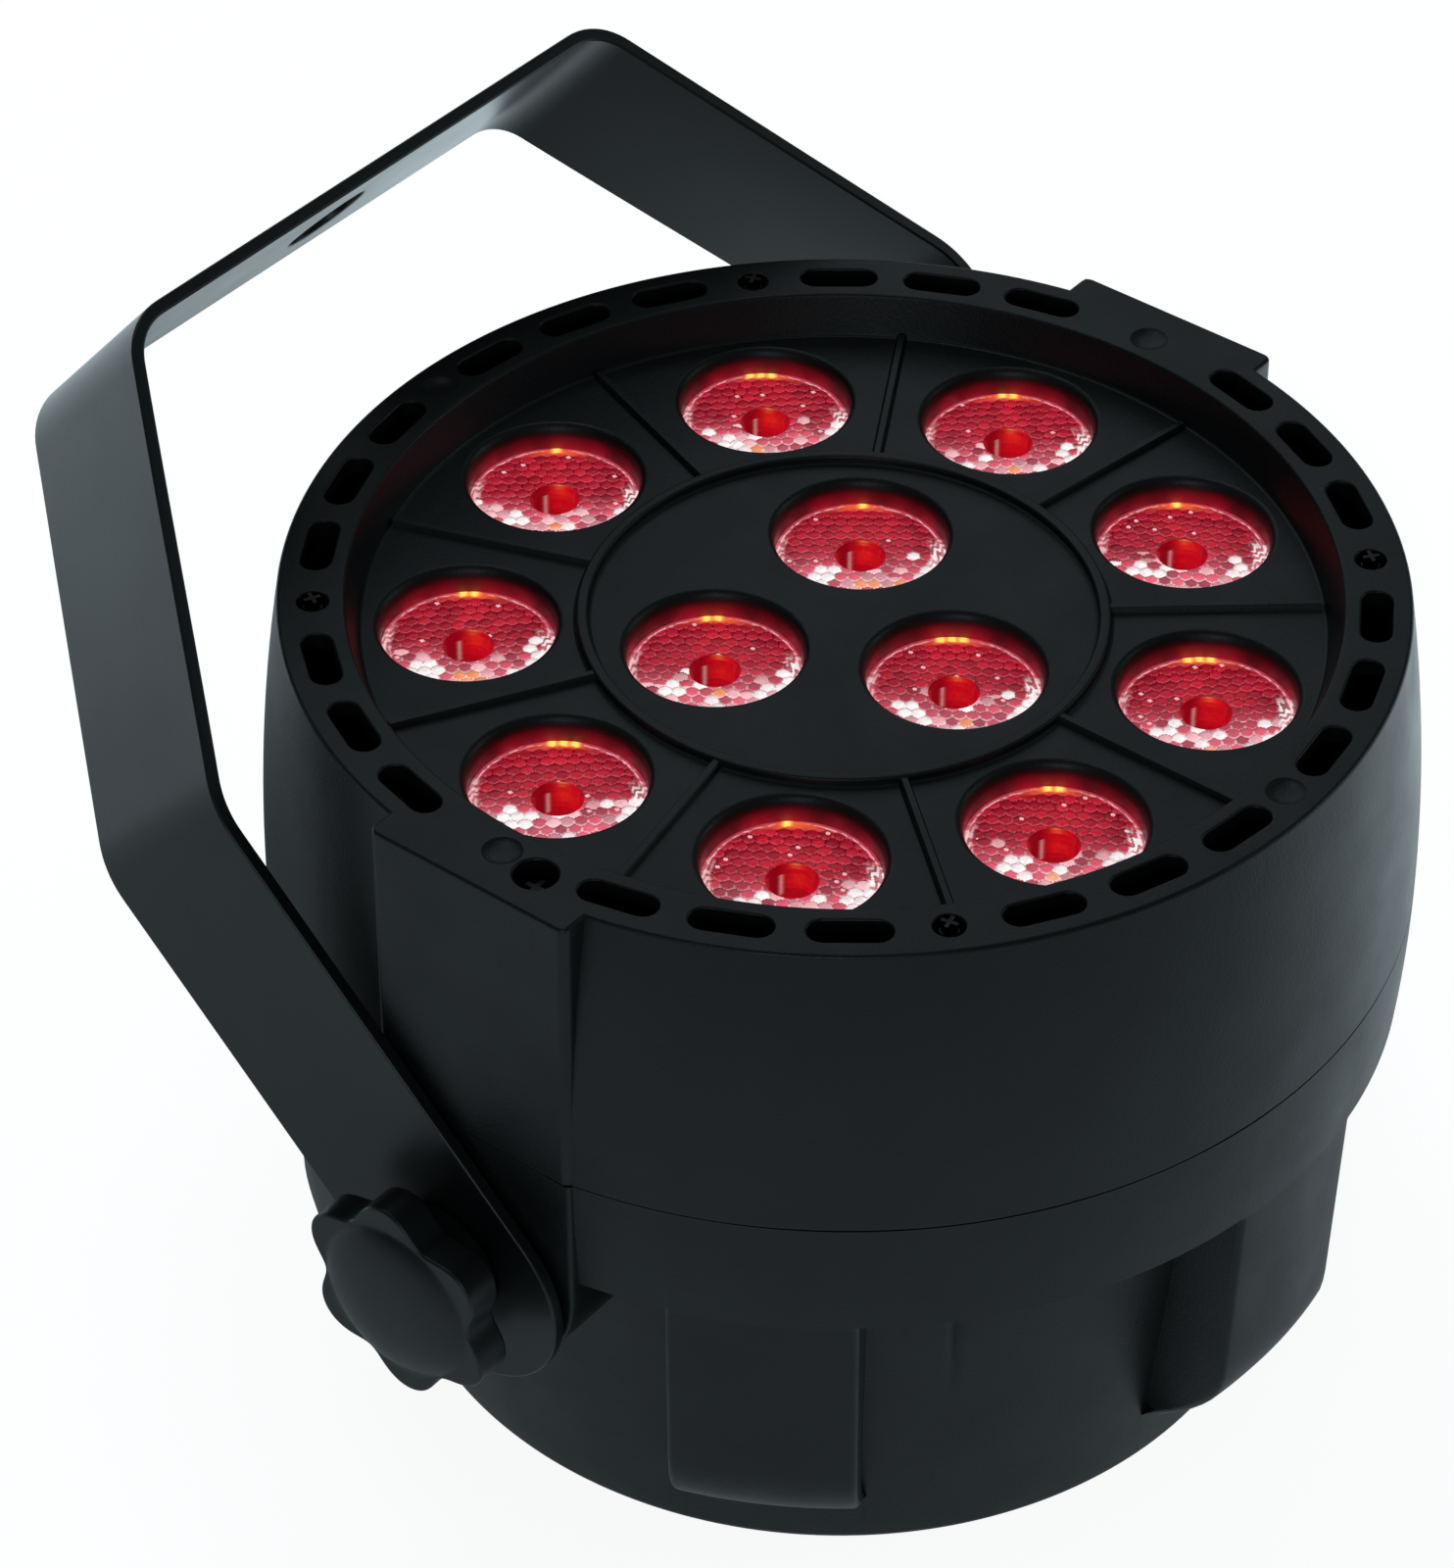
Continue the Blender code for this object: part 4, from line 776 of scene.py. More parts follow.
def build_front_shell(material):
    shell = new_object("front_casing", front_body())
    over = 0.002
    slope = (PAD_X - PAD_TOP_X) / (HEIGHT - SPLIT_Z)
    ribs = [rib(TAU / 4 + TAU * (i + 0.5) / RIBS) for i in range(RIBS)]
    screws = [round_opening(x, y, 0.0021, 0.0060, 0.00025) for x, y in rim_screw_places()]
    screws.append(round_opening(*SIDE_SCREW_PLACE, 0.0029, 0.0075, 0.0004))
    dimples = [dished_recess(*on_circle(SLOT_RING_R, TAU / 4 * i)) for i in range(4)]
    trim = wall_trim(SPLIT_Z - over, HEIGHT + over, PAD_X + over * slope, PAD_TOP_X - over * slope, 0.013)
    combined(shell, [
        ("DIFFERENCE", trim),
        ("UNION", merged([front_pad(-1), front_pad(1)])),
        ("UNION", merged(ribs)),
        ("DIFFERENCE", lens_hole_cutters()),
        ("DIFFERENCE", merged([slot_cutters()] + screws + dimples)),
    ])
    glow_attribute(shell.data, hole_glow(vertex_array(shell.data)))
    finished(shell, material, "housing", ["front_shell"], 30.0)


# ---- rear casing --------------------------------------------------------------------------
def band_outside_r(z):
    share = (SPLIT_Z - z) / (SPLIT_Z - LEDGE_Z)
    return BULGE_R - (BULGE_R - BAND_R) * share**2


def cone_r(z):
    return CONE_LOW_R + (CONE_TOP_R - CONE_LOW_R) * z / LEDGE_Z


def rear_rows():
    """Matching profiles down a tab and down the tapered body beside it."""
    top = SPLIT_Z - SPLIT_GAP
    band = [(band_outside_r(z), z) for z in np.linspace(top, LEDGE_Z + 0.0002, 7)]
    tab = [(0.0778, 0.0551), (0.0778, 0.0546)]
    cone = [(BAND_R - 0.0002, LEDGE_Z), (CONE_TOP_R + 0.0005, LEDGE_Z)]
    straight = np.linspace(0.0530, 0.0260, 8)
    tab += [(0.0766 + 0.0012 * (z - 0.024) / 0.0306, z) for z in straight]
    cone += [(cone_r(0.0548), 0.0548)] + [(cone_r(z), z) for z in straight[1:]]
    curl = [(0.07650, 0.0240), (0.07615, 0.0222), (0.07550, 0.0203), (0.07450, 0.0185), (0.07325, 0.0168)]
    curl += [(0.07165, 0.0150), (0.06960, 0.0131), (0.06740, 0.0113), (cone_r(0.0095) + 0.00002, 0.0095)]
    tab += curl
    cone += [(cone_r(z), z) for _, z in curl[:-1]] + [(cone_r(0.0095), 0.0095)]
    foot = [(cone_r(z), z) for z in (0.0070, 0.0040, 0.0012)]
    foot += arc((CONE_LOW_R - 0.0010, 0.0010), 0.0010, -10, -90, 5)
    inside = [(0.0570, 0.0), (0.0570, 0.0130), (0.0490, 0.0130), (0.0490, 0.0155), (0.0618, 0.0155)]
    inside += [(0.0668, 0.0578), (0.0737, 0.0578), (0.0737, 0.0764), (0.0757, 0.0764), (0.0757, top)]
    return band, tab, cone, foot, inside


def rear_columns():
    """(distance across, share of tab, inset, angle) of the columns over one sixth of a turn."""
    columns = []
    corner = 0.0009
    flat = np.linspace(-TAB_HALF + corner, TAB_HALF - corner, 13)
    rounding = [(corner * math.sin(t), corner * (1 - math.cos(t))) for t in np.radians([30, 55, 75, 90])]
    left = [(-TAB_HALF + corner - a, 1.0, b) for a, b in reversed(rounding)]
    right = [(TAB_HALF - corner + a, 1.0, b) for a, b in rounding]
    tab = left + [(v, 1.0, 0.0) for v in flat] + right
    base = TAB_HALF + 0.00012
    columns += [(v, s, d, None) for v, s, d in tab]
    first = math.asin(base / CONE_TOP_R)
    spread = np.linspace(first + 0.018, TAU / 12, 33)
    for angle in np.concatenate([[first, first + 0.004, first + 0.011], spread]):
        columns.append((None, 0.0, 0.0, angle))
    last = [(None, 0.0, 0.0, -c[3]) for c in columns if c[3] is not None and c[3] < TAU / 12 - 1e-6]
    return last[::-1] + columns


def rear_groove(angle, z):
    """Depth of two tapering sink marks under the ledge."""
    depth = 0.0
    for centre, low, width in ((-135.4, 0.0462, 0.0006), (-129.3, 0.0310, 0.0011)):
        away = (math.degrees(angle) - centre + 180) % 360 - 180
        share = min(max((z - low) / (0.0545 - low), 0.0), 1.0)
        half = width * (0.25 + 0.75 * share)
        depth += 0.0007 * math.exp(-((math.radians(away) * CONE_TOP_R / half) ** 2)) * min(1.0, 3 * share)
    return depth


def rear_body():
    band, tab, cone, foot, inside = rear_rows()
    shift = len(band)
    columns = []
    for sixth in range(TABS):
        centre = TAU / 12 + TAU * sixth / TABS
        for v, on_tab, inset, angle in rear_columns():
            rows = band + (tab if on_tab else cone) + foot + inside
            column = []
            for index, (r, z) in enumerate(rows):
                if on_tab:
                    tabbed = shift <= index < shift + len(tab) - 1
                    share = min(1.0, (index - shift + 1) / 2.0) if tabbed else 0.0
                    across = v
                    if index >= shift + len(tab) + len(foot):
                        across = v * r / 0.0778
                    radius = r - inset * share
                    lift = inset * share * 0.6 if index > shift + 10 else 0.0
                    radial = math.sqrt(max(radius**2 - across**2, 0.0))
                    if tabbed:
                        radial = math.sqrt(r**2 - across**2) - inset * share
                    theta = centre + math.atan2(across, radial)
                    column.append((math.hypot(across, radial), theta, z + lift))
                else:
                    theta = centre + angle
                    on_cone = shift + 1 < index < shift + len(cone)
                    column.append((r - rear_groove(theta, z) if on_cone else r, theta, z))
            columns.append(column)
    polar = np.array(columns).transpose(1, 0, 2)
    r, theta, z = polar[:, :, 0], polar[:, :, 1], polar[:, :, 2]
    points = np.stack([r * np.cos(theta), r * np.sin(theta), z], axis=2)
    return grid_mesh(points)


def rear_pad(side):
    """The lower half of a pad, with a rounded end and a softened face edge."""
    edge = 0.0007
    steps = 25
    sections = []
    for x, inset in ((0.0655, 0.0), (PAD_X - edge, 0.0), (PAD_X - edge * 0.4, edge * 0.25), (PAD_X, edge)):
        radius = PAD_HALF - inset
        top = SPLIT_Z - SPLIT_GAP
        points = [(side * x, -radius, top)]
        for i in range(steps):
            a = -TAU / 2 + TAU / 2 * i / (steps - 1)
            points.append((side * x, radius * math.cos(a), PAD_END_Z + radius * math.sin(a)))
        points.append((side * x, radius, top))
        sections.append(points)
    return grid_mesh(np.array(sections), close_rows=False, caps=True)


def build_rear_shell(material):
    shell = new_object("rear_casing", rear_body())
    trim = wall_trim(0.030, 0.0850, PAD_X, PAD_X, 0.0150)
    gaps = []
    for side in (-1, 1):
        outline = rectangle(side * 0.071, side * 0.080, 0.016)
        gaps.append(stacked([(outline, SPLIT_Z - 0.0001), (outline, 0.0800)]))
    combined(shell, [
        ("DIFFERENCE", trim),
        ("UNION", merged([rear_pad(-1), rear_pad(1)])),
        ("DIFFERENCE", merged(gaps)),
    ])
    glow_attribute(shell.data, 0.0)
    finished(shell, material, "housing", ["rear_shell"], 30.0)


# ---- lenses -------------------------------------------------------------------------------
def mixed(a, b, share):
    share = np.clip(share, 0, 1)[:, None]
    return a * (1 - share) + b * share


def smooth_step(value):
    t = np.clip(value, 0, 1)
    return t * t * (3 - 2 * t)


def bump_at(u, v, centre, reach):
    """A soft spot, 1 at its centre."""
    return np.exp(-(((u - centre[0]) / reach[0]) ** 2) - ((v - centre[1]) / reach[1]) ** 2)


def beads():
    """Axes of the bead pattern."""
    a = np.array([BEAD, 0.0])
    b = np.array([BEAD / 2, BEAD * math.sqrt(3) / 2])
    return a, b


def nearest_bead(xy):
    """Centre and cell number of the bead under each point."""
    a, b = beads()
    base = np.floor(xy @ np.linalg.inv(np.stack([a, b], axis=1)).T)
    best = np.full(len(xy), 1.0)
    centre = np.zeros_like(xy)
    cell = np.zeros_like(xy)
    for corner in ((0, 0), (1, 0), (0, 1), (1, 1)):
        candidate = base + np.array(corner)
        place = candidate @ np.stack([a, b])
        distance = np.hypot(*(xy - place).T)
        closer = distance < best
        best = np.where(closer, distance, best)
        centre[closer] = place[closer]
        cell[closer] = candidate[closer]
    return centre, cell.astype(int)


def hex_distance(offset):
    """0 at a bead's centre, 1 along its six sides."""
    far = np.zeros(len(offset))
    for turn in (0.0, TAU / 6, TAU / 3):
        far = np.maximum(far, np.abs(offset @ np.array([math.cos(turn), math.sin(turn)])))
    return far / (BEAD / 2)


def bead_lattice():
    """Points and triangles of a round beaded face with a round hole in its middle."""
    step = BEAD / BEAD_STEPS
    a, b = beads()
    reach = int(1.3 * HOLE_R / step) + 4
    i, j = np.meshgrid(np.arange(-reach, reach), np.arange(-reach, reach), indexing="ij")
    xy = (i[..., None] * a + j[..., None] * b) / BEAD_STEPS
    number = np.arange(i.size).reshape(i.shape)
    first = np.stack([number[:-1, :-1], number[1:, :-1], number[:-1, 1:]], axis=-1)
    second = np.stack([number[1:, :-1], number[1:, 1:], number[:-1, 1:]], axis=-1)
    triangles = np.concatenate([first.reshape(-1, 3), second.reshape(-1, 3)])
    xy = xy.reshape(-1, 2)
    radius = np.hypot(*xy.T)
    corner_r = radius[triangles]
    edge = HOLE_R + SKIRT_GAP * 0.7
    keep = (corner_r.min(axis=1) < edge) & (corner_r.max(axis=1) > BORE_R)
    used, triangles = np.unique(triangles[keep], return_inverse=True)
    return xy[used], triangles.reshape(-1, 3), edge


def ring_down(points, faces, loop, steps, closed=True):
    """Carries a loop of points through rings of a given radius and height."""
    turn = np.arctan2(*np.array([points[k][:2] for k in loop]).T[::-1])
    for radius, height in steps:
        start = len(points)
        points.extend((radius * math.cos(t), radius * math.sin(t), height) for t in turn)
        fresh = list(range(start, start + len(loop)))
        for k in range(len(loop)):
            n = (k + 1) % len(loop)
            faces.append((loop[k], loop[n], fresh[n], fresh[k]))
        loop = fresh
    if closed:
        faces.append(tuple(loop))


def lens_template():
    """One lens about its own axis: beaded face, centre well, flange and cone."""
    xy, triangles, edge = bead_lattice()
    radius = np.hypot(*xy.T)
    centre, _ = nearest_bead(xy)
    relief = BEAD_RISE * (1 - hex_distance(xy - centre) ** 2)
    outside = radius >= edge
    inside = radius <= BORE_R
    snapped = xy.copy()
    snapped[outside] *= ((HOLE_R + SKIRT_GAP) / radius[outside])[:, None]
    snapped[inside] *= (BORE_R / radius[inside])[:, None]
    fade = np.clip((HOLE_R - radius) / 0.0008, 0, 1) * np.clip((radius - BORE_R) / 0.0004, 0, 1)
    z = LENS_FACE_Z + relief * fade
    points = [tuple(p) for p in np.column_stack([snapped, z])]
    faces = [tuple(t) for t in triangles]
    by_turn = np.argsort(np.arctan2(xy[:, 1], xy[:, 0]))
    outer = [int(k) for k in by_turn if outside[k]]
    inner = [int(k) for k in by_turn if inside[k]]
    low = LENS_FACE_Z
    flange = [(LENS_R, low - 0.0002), (LENS_R, low - 0.0014), (0.0112, low - 0.0018), (0.0052, LENS_FOOT_Z)]
    ring_down(points, faces, outer, flange)
    well = [(BORE_R - 0.0001, low - 0.0002)]
    well += [(BORE_R - 0.0001 - 0.0004 * k / 6, low - BORE_DEPTH * k / 6) for k in range(1, 7)]
    ring_down(points, faces, inner, well)
    mesh = bpy.data.meshes.new("lens_template")
    mesh.from_pydata(points, [], faces)
    bm = bmesh.new()
    bm.from_mesh(mesh)
    bmesh.ops.recalc_face_normals(bm, faces=bm.faces)
    bm.to_mesh(mesh)
    bm.free()
    return mesh


def face_light(u, v, cell_u, cell_v, offset, edge, draw, seed):
    """The light that leaves the beaded face: u runs to the viewer's right and v towards them."""
    r = np.hypot(u, v)
    low = smooth_step((v + 0.20) / 0.85)
    n = len(u)
    colour = mixed(np.tile(WINE, (n, 1)), ROSE, low)
    colour[:, 0] += 0.10 * np.exp(-((u / 0.4) ** 2)) * (1 - low)
    swing = (draw[:, 0] - 0.5) * (0.55 + 0.35 * low)
    colour *= (1 + swing)[:, None]
    colour = mixed(colour, PALE, (0.3 + 0.5 * draw[:, 0]) * (draw[:, 1] < 0.34 * low))
    colour = mixed(colour, WHITE, 0.85 * (draw[:, 2] < 0.07 * low))
    glare = bump_at(cell_u, cell_v, (-0.46, 0.36), (0.17, 0.15))
    colour = mixed(colour, WHITE, 0.9 * (draw[:, 3] < 1.1 * glare))
    sunny = bump_at(cell_u, cell_v, (0.78, 0.34), (0.14, 0.28))
    colour = mixed(colour, WHITE, 0.85 * (draw[:, 4] < 0.9 * sunny))
    warm = bump_at(cell_u, cell_v, (0.02, 0.52), (0.15, 0.14))
    colour = mixed(colour, AMBER, 0.65 * (draw[:, 5] < 0.55 * warm))
    toward = offset @ VIEW_NEAR
    aside = offset @ VIEW_RIGHT
    colour *= (1 + 0.32 * toward * (1 - 0.5 * low) + 0.10 * aside)[:, None]
    line = smooth_step((edge - 0.76) / 0.2)
    wave = np.sin(0.9 * draw[:, 3] * TAU + 3.0 * aside) * 0.25
    colour = mixed(colour, LINE_LIT, line * 0.6 * (1 - low) * (toward > 0.35 + wave))
    colour = mixed(colour, LINE_DARK, line * 0.85 * (1 - low) * (toward < 0.1 + wave))
    colour = mixed(colour, WHITE, line * 0.60 * low * (toward > -0.1))
    colour = mixed(colour, ROSE * 0.55, line * 0.60 * low * (toward <= -0.1))
    spark = (draw[:, 2] > 0.93) & (np.hypot(aside - 0.3, toward + 0.2) < 0.35) & (low < 0.6)
    colour = mixed(colour, PALE, spark * 0.85)
    return rim_light(colour, u, v, r, low, seed)


def rim_light(colour, u, v, r, low, seed):
    """The edge of the lens gathers light: a pink line, white to the right, hot at the far side."""
    turn = np.arctan2(v, u)
    n = len(u)
    wander = 0.008 * np.sin(9 * turn + seed) + 0.006 * np.sin(31 * turn + 2 * seed)
    scribble = np.sin(31 * turn + 45 * r + 2.2 * np.sin(11 * turn + seed) + 1.4 * np.sin(17 * turn - 60 * r))
    band = smooth_step((r - 0.925 - wander) / 0.03)
    pink = mixed(np.tile(EDGE_FAR, (n, 1)), EDGE_NEAR, low)
    colour = mixed(colour, pink, band * 0.8)
    inner = smooth_step((r - 0.80 - wander) / 0.06)
    right = smooth_step((u - 0.45) / 0.3) * smooth_step((v + 0.35) / 0.3)
    colour = mixed(colour, WHITE, inner * right * (0.10 + 0.85 * (scribble > 0.05)))
    left = smooth_step((-u - 0.65) / 0.2) * smooth_step((v + 0.45) / 0.3)
    left *= smooth_step((r - 0.87 - wander) / 0.05)
    colour = mixed(colour, PALE, left * (0.15 + 0.6 * (scribble > 0.0)))
    thin = np.exp(-(((r - 0.962 - 0.5 * wander) / 0.010) ** 2))
    colour = mixed(colour, PALE, thin * (0.25 + 0.65 * (scribble > -0.2)))
    far = smooth_step((-v - 0.55) / 0.25)
    line = smooth_step((r - 0.86) / 0.05) * (1 - smooth_step((r - 0.99) / 0.01))
    halo = np.exp(-(((u - 0.02) / 0.26) ** 2)) * far
    colour = mixed(colour, ORANGE, line * halo)
    spots = np.zeros(n)
    for k in range(1 + seed % 3):
        spot_u = 0.13 * (k - 0.5 * (seed % 3)) + 0.05 * math.sin(3.7 * seed)
        spots += np.exp(-(((u - spot_u) / 0.045) ** 2))
    colour = mixed(colour, HOT, smooth_step((r - 0.90) / 0.03) * far * np.clip(spots, 0, 1) * 1.3)
    near = bump_at(u, v, (0.03 + 0.05 * math.sin(5.1 * seed), 0.90), (0.10, 0.07)) * (seed % 4 != 1)
    return mixed(colour, HOT * np.array([1.0, 0.7, 0.8]), near * 0.9)


def well_light(u, v, depth, seed):
    """Inside the centre well: dark saturated red, an upright pale reflection, a warm far lip."""
    n = len(u)
    colour = mixed(np.tile(RED, (n, 1)), DARK_RED, smooth_step((0.15 - u) / 0.8) * 0.75)
    colour = mixed(colour, DARK_RED, smooth_step((u - 0.72) / 0.2) * 0.5)
    colour = mixed(colour, DARK_RED, smooth_step((depth - 0.8) / 0.2) * 0.4)
    ripple = 0.5 + 0.5 * np.sin(30 * depth + seed)
    lively = bump_at(u, depth, (0.25, 0.25), (0.35, 0.45))
    colour = mixed(colour, LIVELY_RED, 0.7 * ripple * lively)
    glint = np.exp(-(((u + 0.40) / 0.075) ** 2)) * (v < 0.1) * smooth_step((depth - 0.25) / 0.1)
    colour = mixed(colour, GLINT, glint * 0.9)
    return mixed(colour, AMBER, 0.35 * bump_at(u, depth, (0.15, 0.0), (0.18, 0.10)) * (v < 0))


def paint_lens(mesh, turn, seed):
    """Gives each small face the colour of the light it sends out."""
    middle = np.zeros(len(mesh.polygons) * 3, np.float32)
    mesh.polygons.foreach_get("center", middle)
    middle = middle.reshape(-1, 3).astype(float)
    flat = middle[:, :2]
    spin = np.array([[math.cos(turn), math.sin(turn)], [-math.sin(turn), math.cos(turn)]])
    centre, cell = nearest_bead(flat)
    offset = (flat - centre) / (BEAD / 2)
    edge = hex_distance(flat - centre)
    rng = np.random.default_rng(1000 + seed)
    span = 40
    table = rng.random((span, span, 6))
    draw = table[(cell[:, 0] + span // 2) % span, (cell[:, 1] + span // 2) % span]
    world = flat @ spin
    u = world @ VIEW_RIGHT
    v = world @ VIEW_NEAR
    cell_world = centre @ spin / HOLE_R
    colour = face_light(
        u / HOLE_R,
        v / HOLE_R,
        cell_world @ VIEW_RIGHT,
        cell_world @ VIEW_NEAR,
        offset @ spin,
        edge,
        draw,
        seed,
    )
    radius = np.hypot(*flat.T)
    depth = (LENS_FACE_Z - middle[:, 2]) / BORE_DEPTH
    well = (radius < BORE_R - 0.00001) & (depth > 0.005)
    colour[well] = well_light(u[well] / BORE_R, v[well] / BORE_R, depth[well], seed)
    under = (depth > 0.005) & (radius > HOLE_R)
    colour[under] = DARK_RED
    layer = mesh.attributes.new("glow", "FLOAT_COLOR", "FACE")
    rgba = np.ones((len(colour), 4), np.float32)
    rgba[:, :3] = np.clip(colour, 0, 3)
    layer.data.foreach_set("color", rgba.ravel())


def build_lenses(material):
    template = lens_template()
    rng = np.random.default_rng(7)
    for seed, (name, x, y) in enumerate(lens_places()):
        mesh = template.copy()
        mesh.name = f"lit_{name}"
        turn = math.atan2(VIEW_RIGHT[1], VIEW_RIGHT[0]) + rng.uniform(-0.16, 0.16)
        paint_lens(mesh, turn, seed)
        obj = linked(mesh.name, mesh)
        obj.matrix_basis = at(x, y) @ spun(turn)
        finished(obj, material, "housing", [name], 40.0, weighted=False)
    bpy.data.meshes.remove(template)


# ---- yoke ---------------------------------------------------------------------------------
def bend_path():
    """The outer face of the strap in its own plane: straight runs and bends, and the length so far."""
    start, end = (YOKE_ARM_X, YOKE_ARM_START), (YOKE_ARM_X, YOKE_ARM_END)
    right = [(YOKE_BAR_X, YOKE_BAR), end, start]
    corners = [Vector(c) for c in [(-x, y) for x, y in reversed(right)] + right]
    radii = (YOKE_SHOULDER_R, YOKE_CORNER_R, YOKE_CORNER_R, YOKE_SHOULDER_R)
    points = [corners[0]]
    for before, corner, after, radius in zip(corners, corners[1:], corners[2:], radii):
        to_before = (before - corner).normalized()
        to_after = (after - corner).normalized()
        half = to_before.angle(to_after) / 2
        reach = radius / math.tan(half)
        centre = corner + (to_before + to_after).normalized() * radius / math.sin(half)
        first = corner + to_before * reach - centre
        last = corner + to_after * reach - centre
        steps = 14
        for i in range(steps + 1):
            swung = first.copy()
            swung.rotate(Matrix.Rotation(-first.angle_signed(last) * i / steps, 2))
            points.append(centre + swung)
    points.append(corners[-1])
    path = np.array([tuple(p) for p in points])
    return path, np.concatenate([[0.0], np.cumsum(np.hypot(*np.diff(path, axis=0).T))])


def strap_map(points):
    """Folds the flat strap (along, across, depth) into the yoke's shape in the row frame."""
    path, length = bend_path()
    u = points[:, 0] + length[-1] / 2
    x = np.interp(u, length, path[:, 0])
    y = np.interp(u, length, path[:, 1])
    tangent = np.gradient(path, length, axis=0)
    tx = np.interp(u, length, tangent[:, 0])
    ty = np.interp(u, length, tangent[:, 1])
    size = np.hypot(tx, ty)
    nx, ny = ty / size, -tx / size
    x = x + nx * points[:, 2]
    y = y + ny * points[:, 2]
    e = np.array([0.0, math.cos(YOKE_TILT), math.sin(YOKE_TILT)])
    n = np.array([0.0, -math.sin(YOKE_TILT), math.cos(YOKE_TILT)])
    share = smooth_step((y - YOKE_ARM_END) / (YOKE_BAR - YOKE_ARM_END))
    twist = YOKE_TWIST * share
    y = y - YOKE_SKEW * x * share
    across = np.outer(np.cos(twist), n) + np.outer(np.sin(twist), e)
    pivot = np.array(PIVOT)
    return pivot + np.outer(x, [1.0, 0.0, 0.0]) + np.outer(y, e) + points[:, 1:2] * across


def strap_outline(half_length, steps=28):
    """A half round at each end, joined by straight runs."""
    points = []
    for side in (1, -1):
        for i in range(steps + 1):
            a = -TAU / 4 + TAU / 2 * i / steps
            points.append((side * (half_length + YOKE_HALF * math.cos(a)), side * YOKE_HALF * math.sin(a)))
    return points


def build_yoke(material):
    _, length = bend_path()
    pivot_u = length[-1] / 2 + YOKE_ARM_START
    tail_centre = pivot_u + YOKE_TAIL
    outline = strap_outline(tail_centre)
    sections = [(grown(outline, -inset), depth) for depth, inset in strap_edge(0.00034)]
    strap = new_object("yoke_strap", stacked(sections))
    holes = ((-pivot_u, YOKE_PIN_HOLE_R), (pivot_u, YOKE_PIN_HOLE_R), (0.0, YOKE_BAR_HOLE_R))
    tools = [moved(hole_tool(radius, 0.0004), at(u, 0.0)) for u, radius in holes]
    combined(strap, [("DIFFERENCE", merged(tools))])
    bm = bmesh.new()
    bm.from_mesh(strap.data)
    for u in np.arange(-0.150, 0.1501, 0.0010):
        if abs(u) < 0.008 or abs(abs(u) - pivot_u) < 0.006 or abs(u) > tail_centre:
            continue
        geom = list(bm.verts) + list(bm.edges) + list(bm.faces)
        bmesh.ops.bisect_plane(bm, geom=geom, plane_co=(u, 0, 0), plane_no=(1, 0, 0), dist=1e-7)
    co = strap_map(np.array([v.co for v in bm.verts]))
    for v, p in zip(bm.verts, co):
        v.co = p
    bmesh.ops.recalc_face_normals(bm, faces=bm.faces)
    bm.to_mesh(strap.data)
    bm.free()
    finished(strap, material, "yoke", ["yoke_bracket"], 30.0)


def strap_edge(edge):
    """(depth, inset) rows that round both edges of the strap's section."""
    turns = np.radians([90, 65, 40, 18, 0])
    rows = [(edge * (1 - math.sin(a)), edge * (1 - math.cos(a))) for a in turns]
    return rows + [(YOKE_T - depth, inset) for depth, inset in reversed(rows)]


def hole_tool(radius, edge):
    profile = [(radius + edge, -0.002), (radius + edge, 0.0)]
    profile += [(radius + 0.3 * edge, 0.3 * edge), (radius, edge), (radius, YOKE_T - edge)]
    profile += [(radius + 0.3 * edge, YOKE_T - 0.3 * edge), (radius + edge, YOKE_T)]
    profile.append((radius + edge, YOKE_T + 0.002))
    return lathe(profile, 48)


# ---- knobs --------------------------------------------------------------------------------
def knob_rows():
    """(distance out, radius, depth of lobes) from the hub round to the crown."""
    rows = [(0.0808, 0.0079, 0.0), (0.0808, 0.0084, 0.0), (0.0811, 0.0086, 0.0), (0.0852, 0.0086, 0.0)]
    rows += [(0.0857, 0.0090, 0.0), (KNOB_BACK_X, 0.0100, 0.0002), (KNOB_BACK_X, 0.0126, 0.0011)]
    grip = KNOB_FRONT_X - KNOB_EDGE
    for turn in np.radians([60, 30, 0]):
        inset = KNOB_EDGE * (1 - math.cos(turn))
        rows.append((KNOB_BACK_X + KNOB_EDGE * (1 - math.sin(turn)), KNOB_R - inset, KNOB_LOBE - 0.1 * inset))
    rows += [(0.5 * (0.0862 + grip), KNOB_R, KNOB_LOBE)]
    for turn in np.radians([0, 25, 50, 72, 90]):
        inset = KNOB_EDGE * (1 - math.cos(turn))
        rows.append((grip + KNOB_EDGE * math.sin(turn), KNOB_R - inset, KNOB_LOBE - 0.1 * inset))
    rows += [(KNOB_FRONT_X, 0.0131, 0.0011), (KNOB_FRONT_X, 0.0124, 0.0005), (KNOB_FRONT_X, 0.0120, 0.0001)]
    rise = KNOB_TIP_X - KNOB_FRONT_X
    crown = ((0.01175, 0.03), (0.0114, 0.14), (0.0109, 0.26), (0.0102, 0.40), (0.0092, 0.55))
    crown += ((0.0079, 0.70), (0.0062, 0.84), (0.0040, 0.94), (0.0020, 0.985), (0.0003, 1.0))
    rows += [(KNOB_FRONT_X + rise * share, radius, 0.0) for radius, share in crown]
    return rows


def lobed(angle):
    """Full, flat-topped lobes with a scooped valley between them, from 1 to -1."""
    wave = np.cos(angle)
    return wave + 0.16 * (1 - wave**2)


def build_knobs(material):
    segments = 240
    phi = np.arange(segments) * TAU / segments
    for side, tag in ((-1, "left"), (1, "right")):
        rows = []
        for x, r, lobe in knob_rows():
            radius = r + lobe * lobed(KNOB_LOBES * (phi - KNOB_TURN))
            y = PIVOT.y + radius * np.cos(phi)
            z = PIVOT.z + radius * np.sin(phi)
            rows.append(np.stack([np.full(segments, side * x), y, z], axis=1))
        knob = new_object(f"clamp_knob_{tag}", grid_mesh(np.array(rows), close_rows=False, caps=True))
        finished(knob, material, f"knob_{tag}", [f"tilt_knob_{tag}"], 50.0)


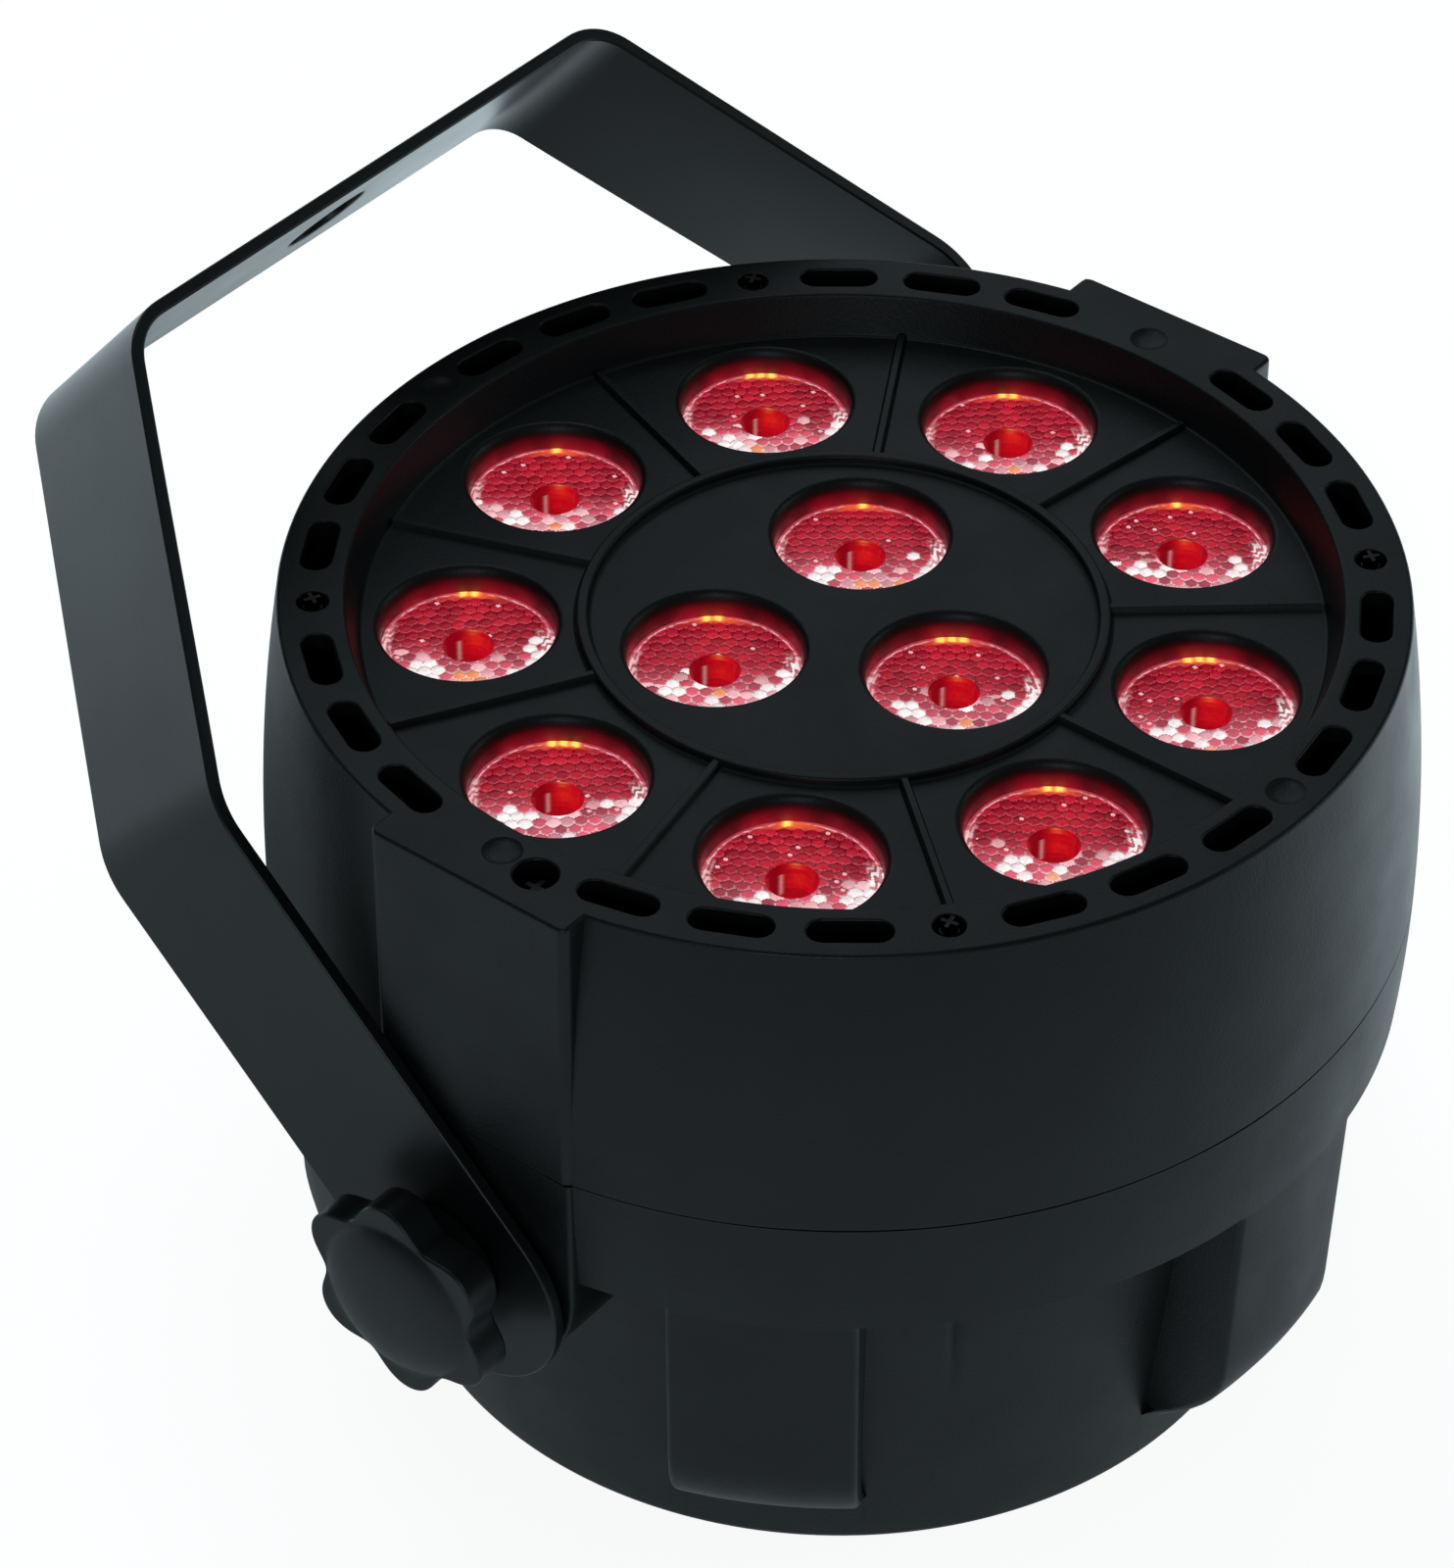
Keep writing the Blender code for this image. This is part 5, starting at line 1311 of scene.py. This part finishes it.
# ---- screws in the rim --------------------------------------------------------------------
def screw_head(radius, height):
    profile = [(0.55 * radius, -0.003), (0.55 * radius, 0.0), (radius * 0.97, 0.0), (radius, 0.12 * height)]
    profile += arc((radius * 0.62, height * 0.10), radius * 0.38, 0, 80, 7)
    profile[-1] = (radius * 0.66, height)
    profile.append((0.0002, height * 1.04))
    return lathe(profile, 40)


def cross_recess(radius, height):
    bars = []
    for turn in (0.4, 0.4 + TAU / 4):
        half = 0.13 * radius
        reach = 0.60 * radius
        low = height * 0.2
        outline = rectangle(-reach, reach, half)
        deep = [(x * 0.45, y * 0.8) for x, y in outline]
        bar = stacked([(deep, low), (outline, height * 1.02), (outline, height * 2)])
        bars.append(moved(bar, spun(turn)))
    return bars


def build_rim_screws(material):
    places = [(f"rim_screw_{i + 1}", *xy, *RIM_SCREW) for i, xy in enumerate(rim_screw_places())]
    places.append(("side_screw", *SIDE_SCREW_PLACE, *SIDE_SCREW))
    for index, (node, x, y, z, radius, height) in enumerate(places):
        screw = new_object(f"fitted_{node}", screw_head(radius, height))
        bars = cross_recess(radius, height)
        combined(screw, [("DIFFERENCE", bars[0]), ("DIFFERENCE", bars[1])])
        screw.matrix_basis = at(x, y, z) @ spun(0.7 * index)
        finished(screw, material, "housing", [node], 35.0)


# ---- what carries over from the CAD -------------------------------------------------------
def dress_cad(materials):
    slots = {row["node"]: row["material_slot"] for row in frame["record"]["subparts"]}
    for name, obj in frame["nodes"].items():
        obj.data.materials.clear()
        obj.data.materials.append(materials[slots.get(name, "casing")])


# ---- studio -------------------------------------------------------------------------------
def build_floor(material):
    """A sheet of pale paper under the light."""
    line = np.linspace(-4.0, 4.0, 25)
    y, x = np.meshgrid(line, line, indexing="ij")
    points = np.stack([x, y, 0.0 * x], axis=2)
    floor = new_object("studio_floor", grid_mesh(points, close_rows=False, close_columns=False))
    floor.data.materials.append(material)
    floor.location = (0.0, 0.0, -0.0002)


def softbox(name, direction, distance, size, power):
    light = bpy.data.lights.new(name, "AREA")
    light.shape = "RECTANGLE"
    light.size, light.size_y = size
    light.energy = power
    light.color = COOL_LIGHT
    obj = linked(name, light)
    out = Vector(direction).normalized()
    obj.location = LIGHT_AIM + out * distance
    obj.rotation_mode = "QUATERNION"
    obj.rotation_quaternion = out.to_track_quat("Z", "Y")


def build_studio(floor):
    build_floor(floor)
    world = bpy.data.worlds.new("studio")
    world.use_nodes = True
    tree = world.node_tree
    background = tree.nodes["Background"]
    seen = tree.nodes.new("ShaderNodeBackground")
    for node, colour, strength in ((seen, (1.0, 1.0, 1.0), 1.0), (background, COOL_LIGHT, WORLD_LIGHT)):
        node.inputs["Color"].default_value = (*colour, 1.0)
        node.inputs["Strength"].default_value = strength
    by_camera(tree, background.outputs[0], seen.outputs[0], tree.nodes["World Output"])
    bpy.context.scene.world = world
    for name, values in SOFTBOXES.items():
        softbox(name, *values)


def build_camera():
    camera = bpy.data.cameras.new("camera")
    camera.lens = CAMERA_LENS
    camera.sensor_width = CAMERA_SENSOR
    camera.clip_start = 0.01
    obj = linked("camera", camera)
    back = CAMERA_BACK.normalized()
    right = (CAMERA_RIGHT - back * CAMERA_RIGHT.dot(back)).normalized()
    up = back.cross(right)
    matrix = Matrix((right, up, back)).transposed().to_4x4()
    matrix.translation = CAMERA_PLACE + AXIS
    obj.matrix_world = matrix
    bpy.context.scene.camera = obj


def main():
    materials = make_materials()
    dress_cad(materials)
    build_front_shell(materials["casing"])
    build_rear_shell(materials["casing"])
    build_lenses(materials["lens"])
    build_yoke(materials["yoke"])
    build_knobs(materials["knob"])
    build_rim_screws(materials["black_screw"])
    build_studio(floor_material())
    build_camera()
    bpy.context.scene.view_settings.view_transform = "Standard"


main()
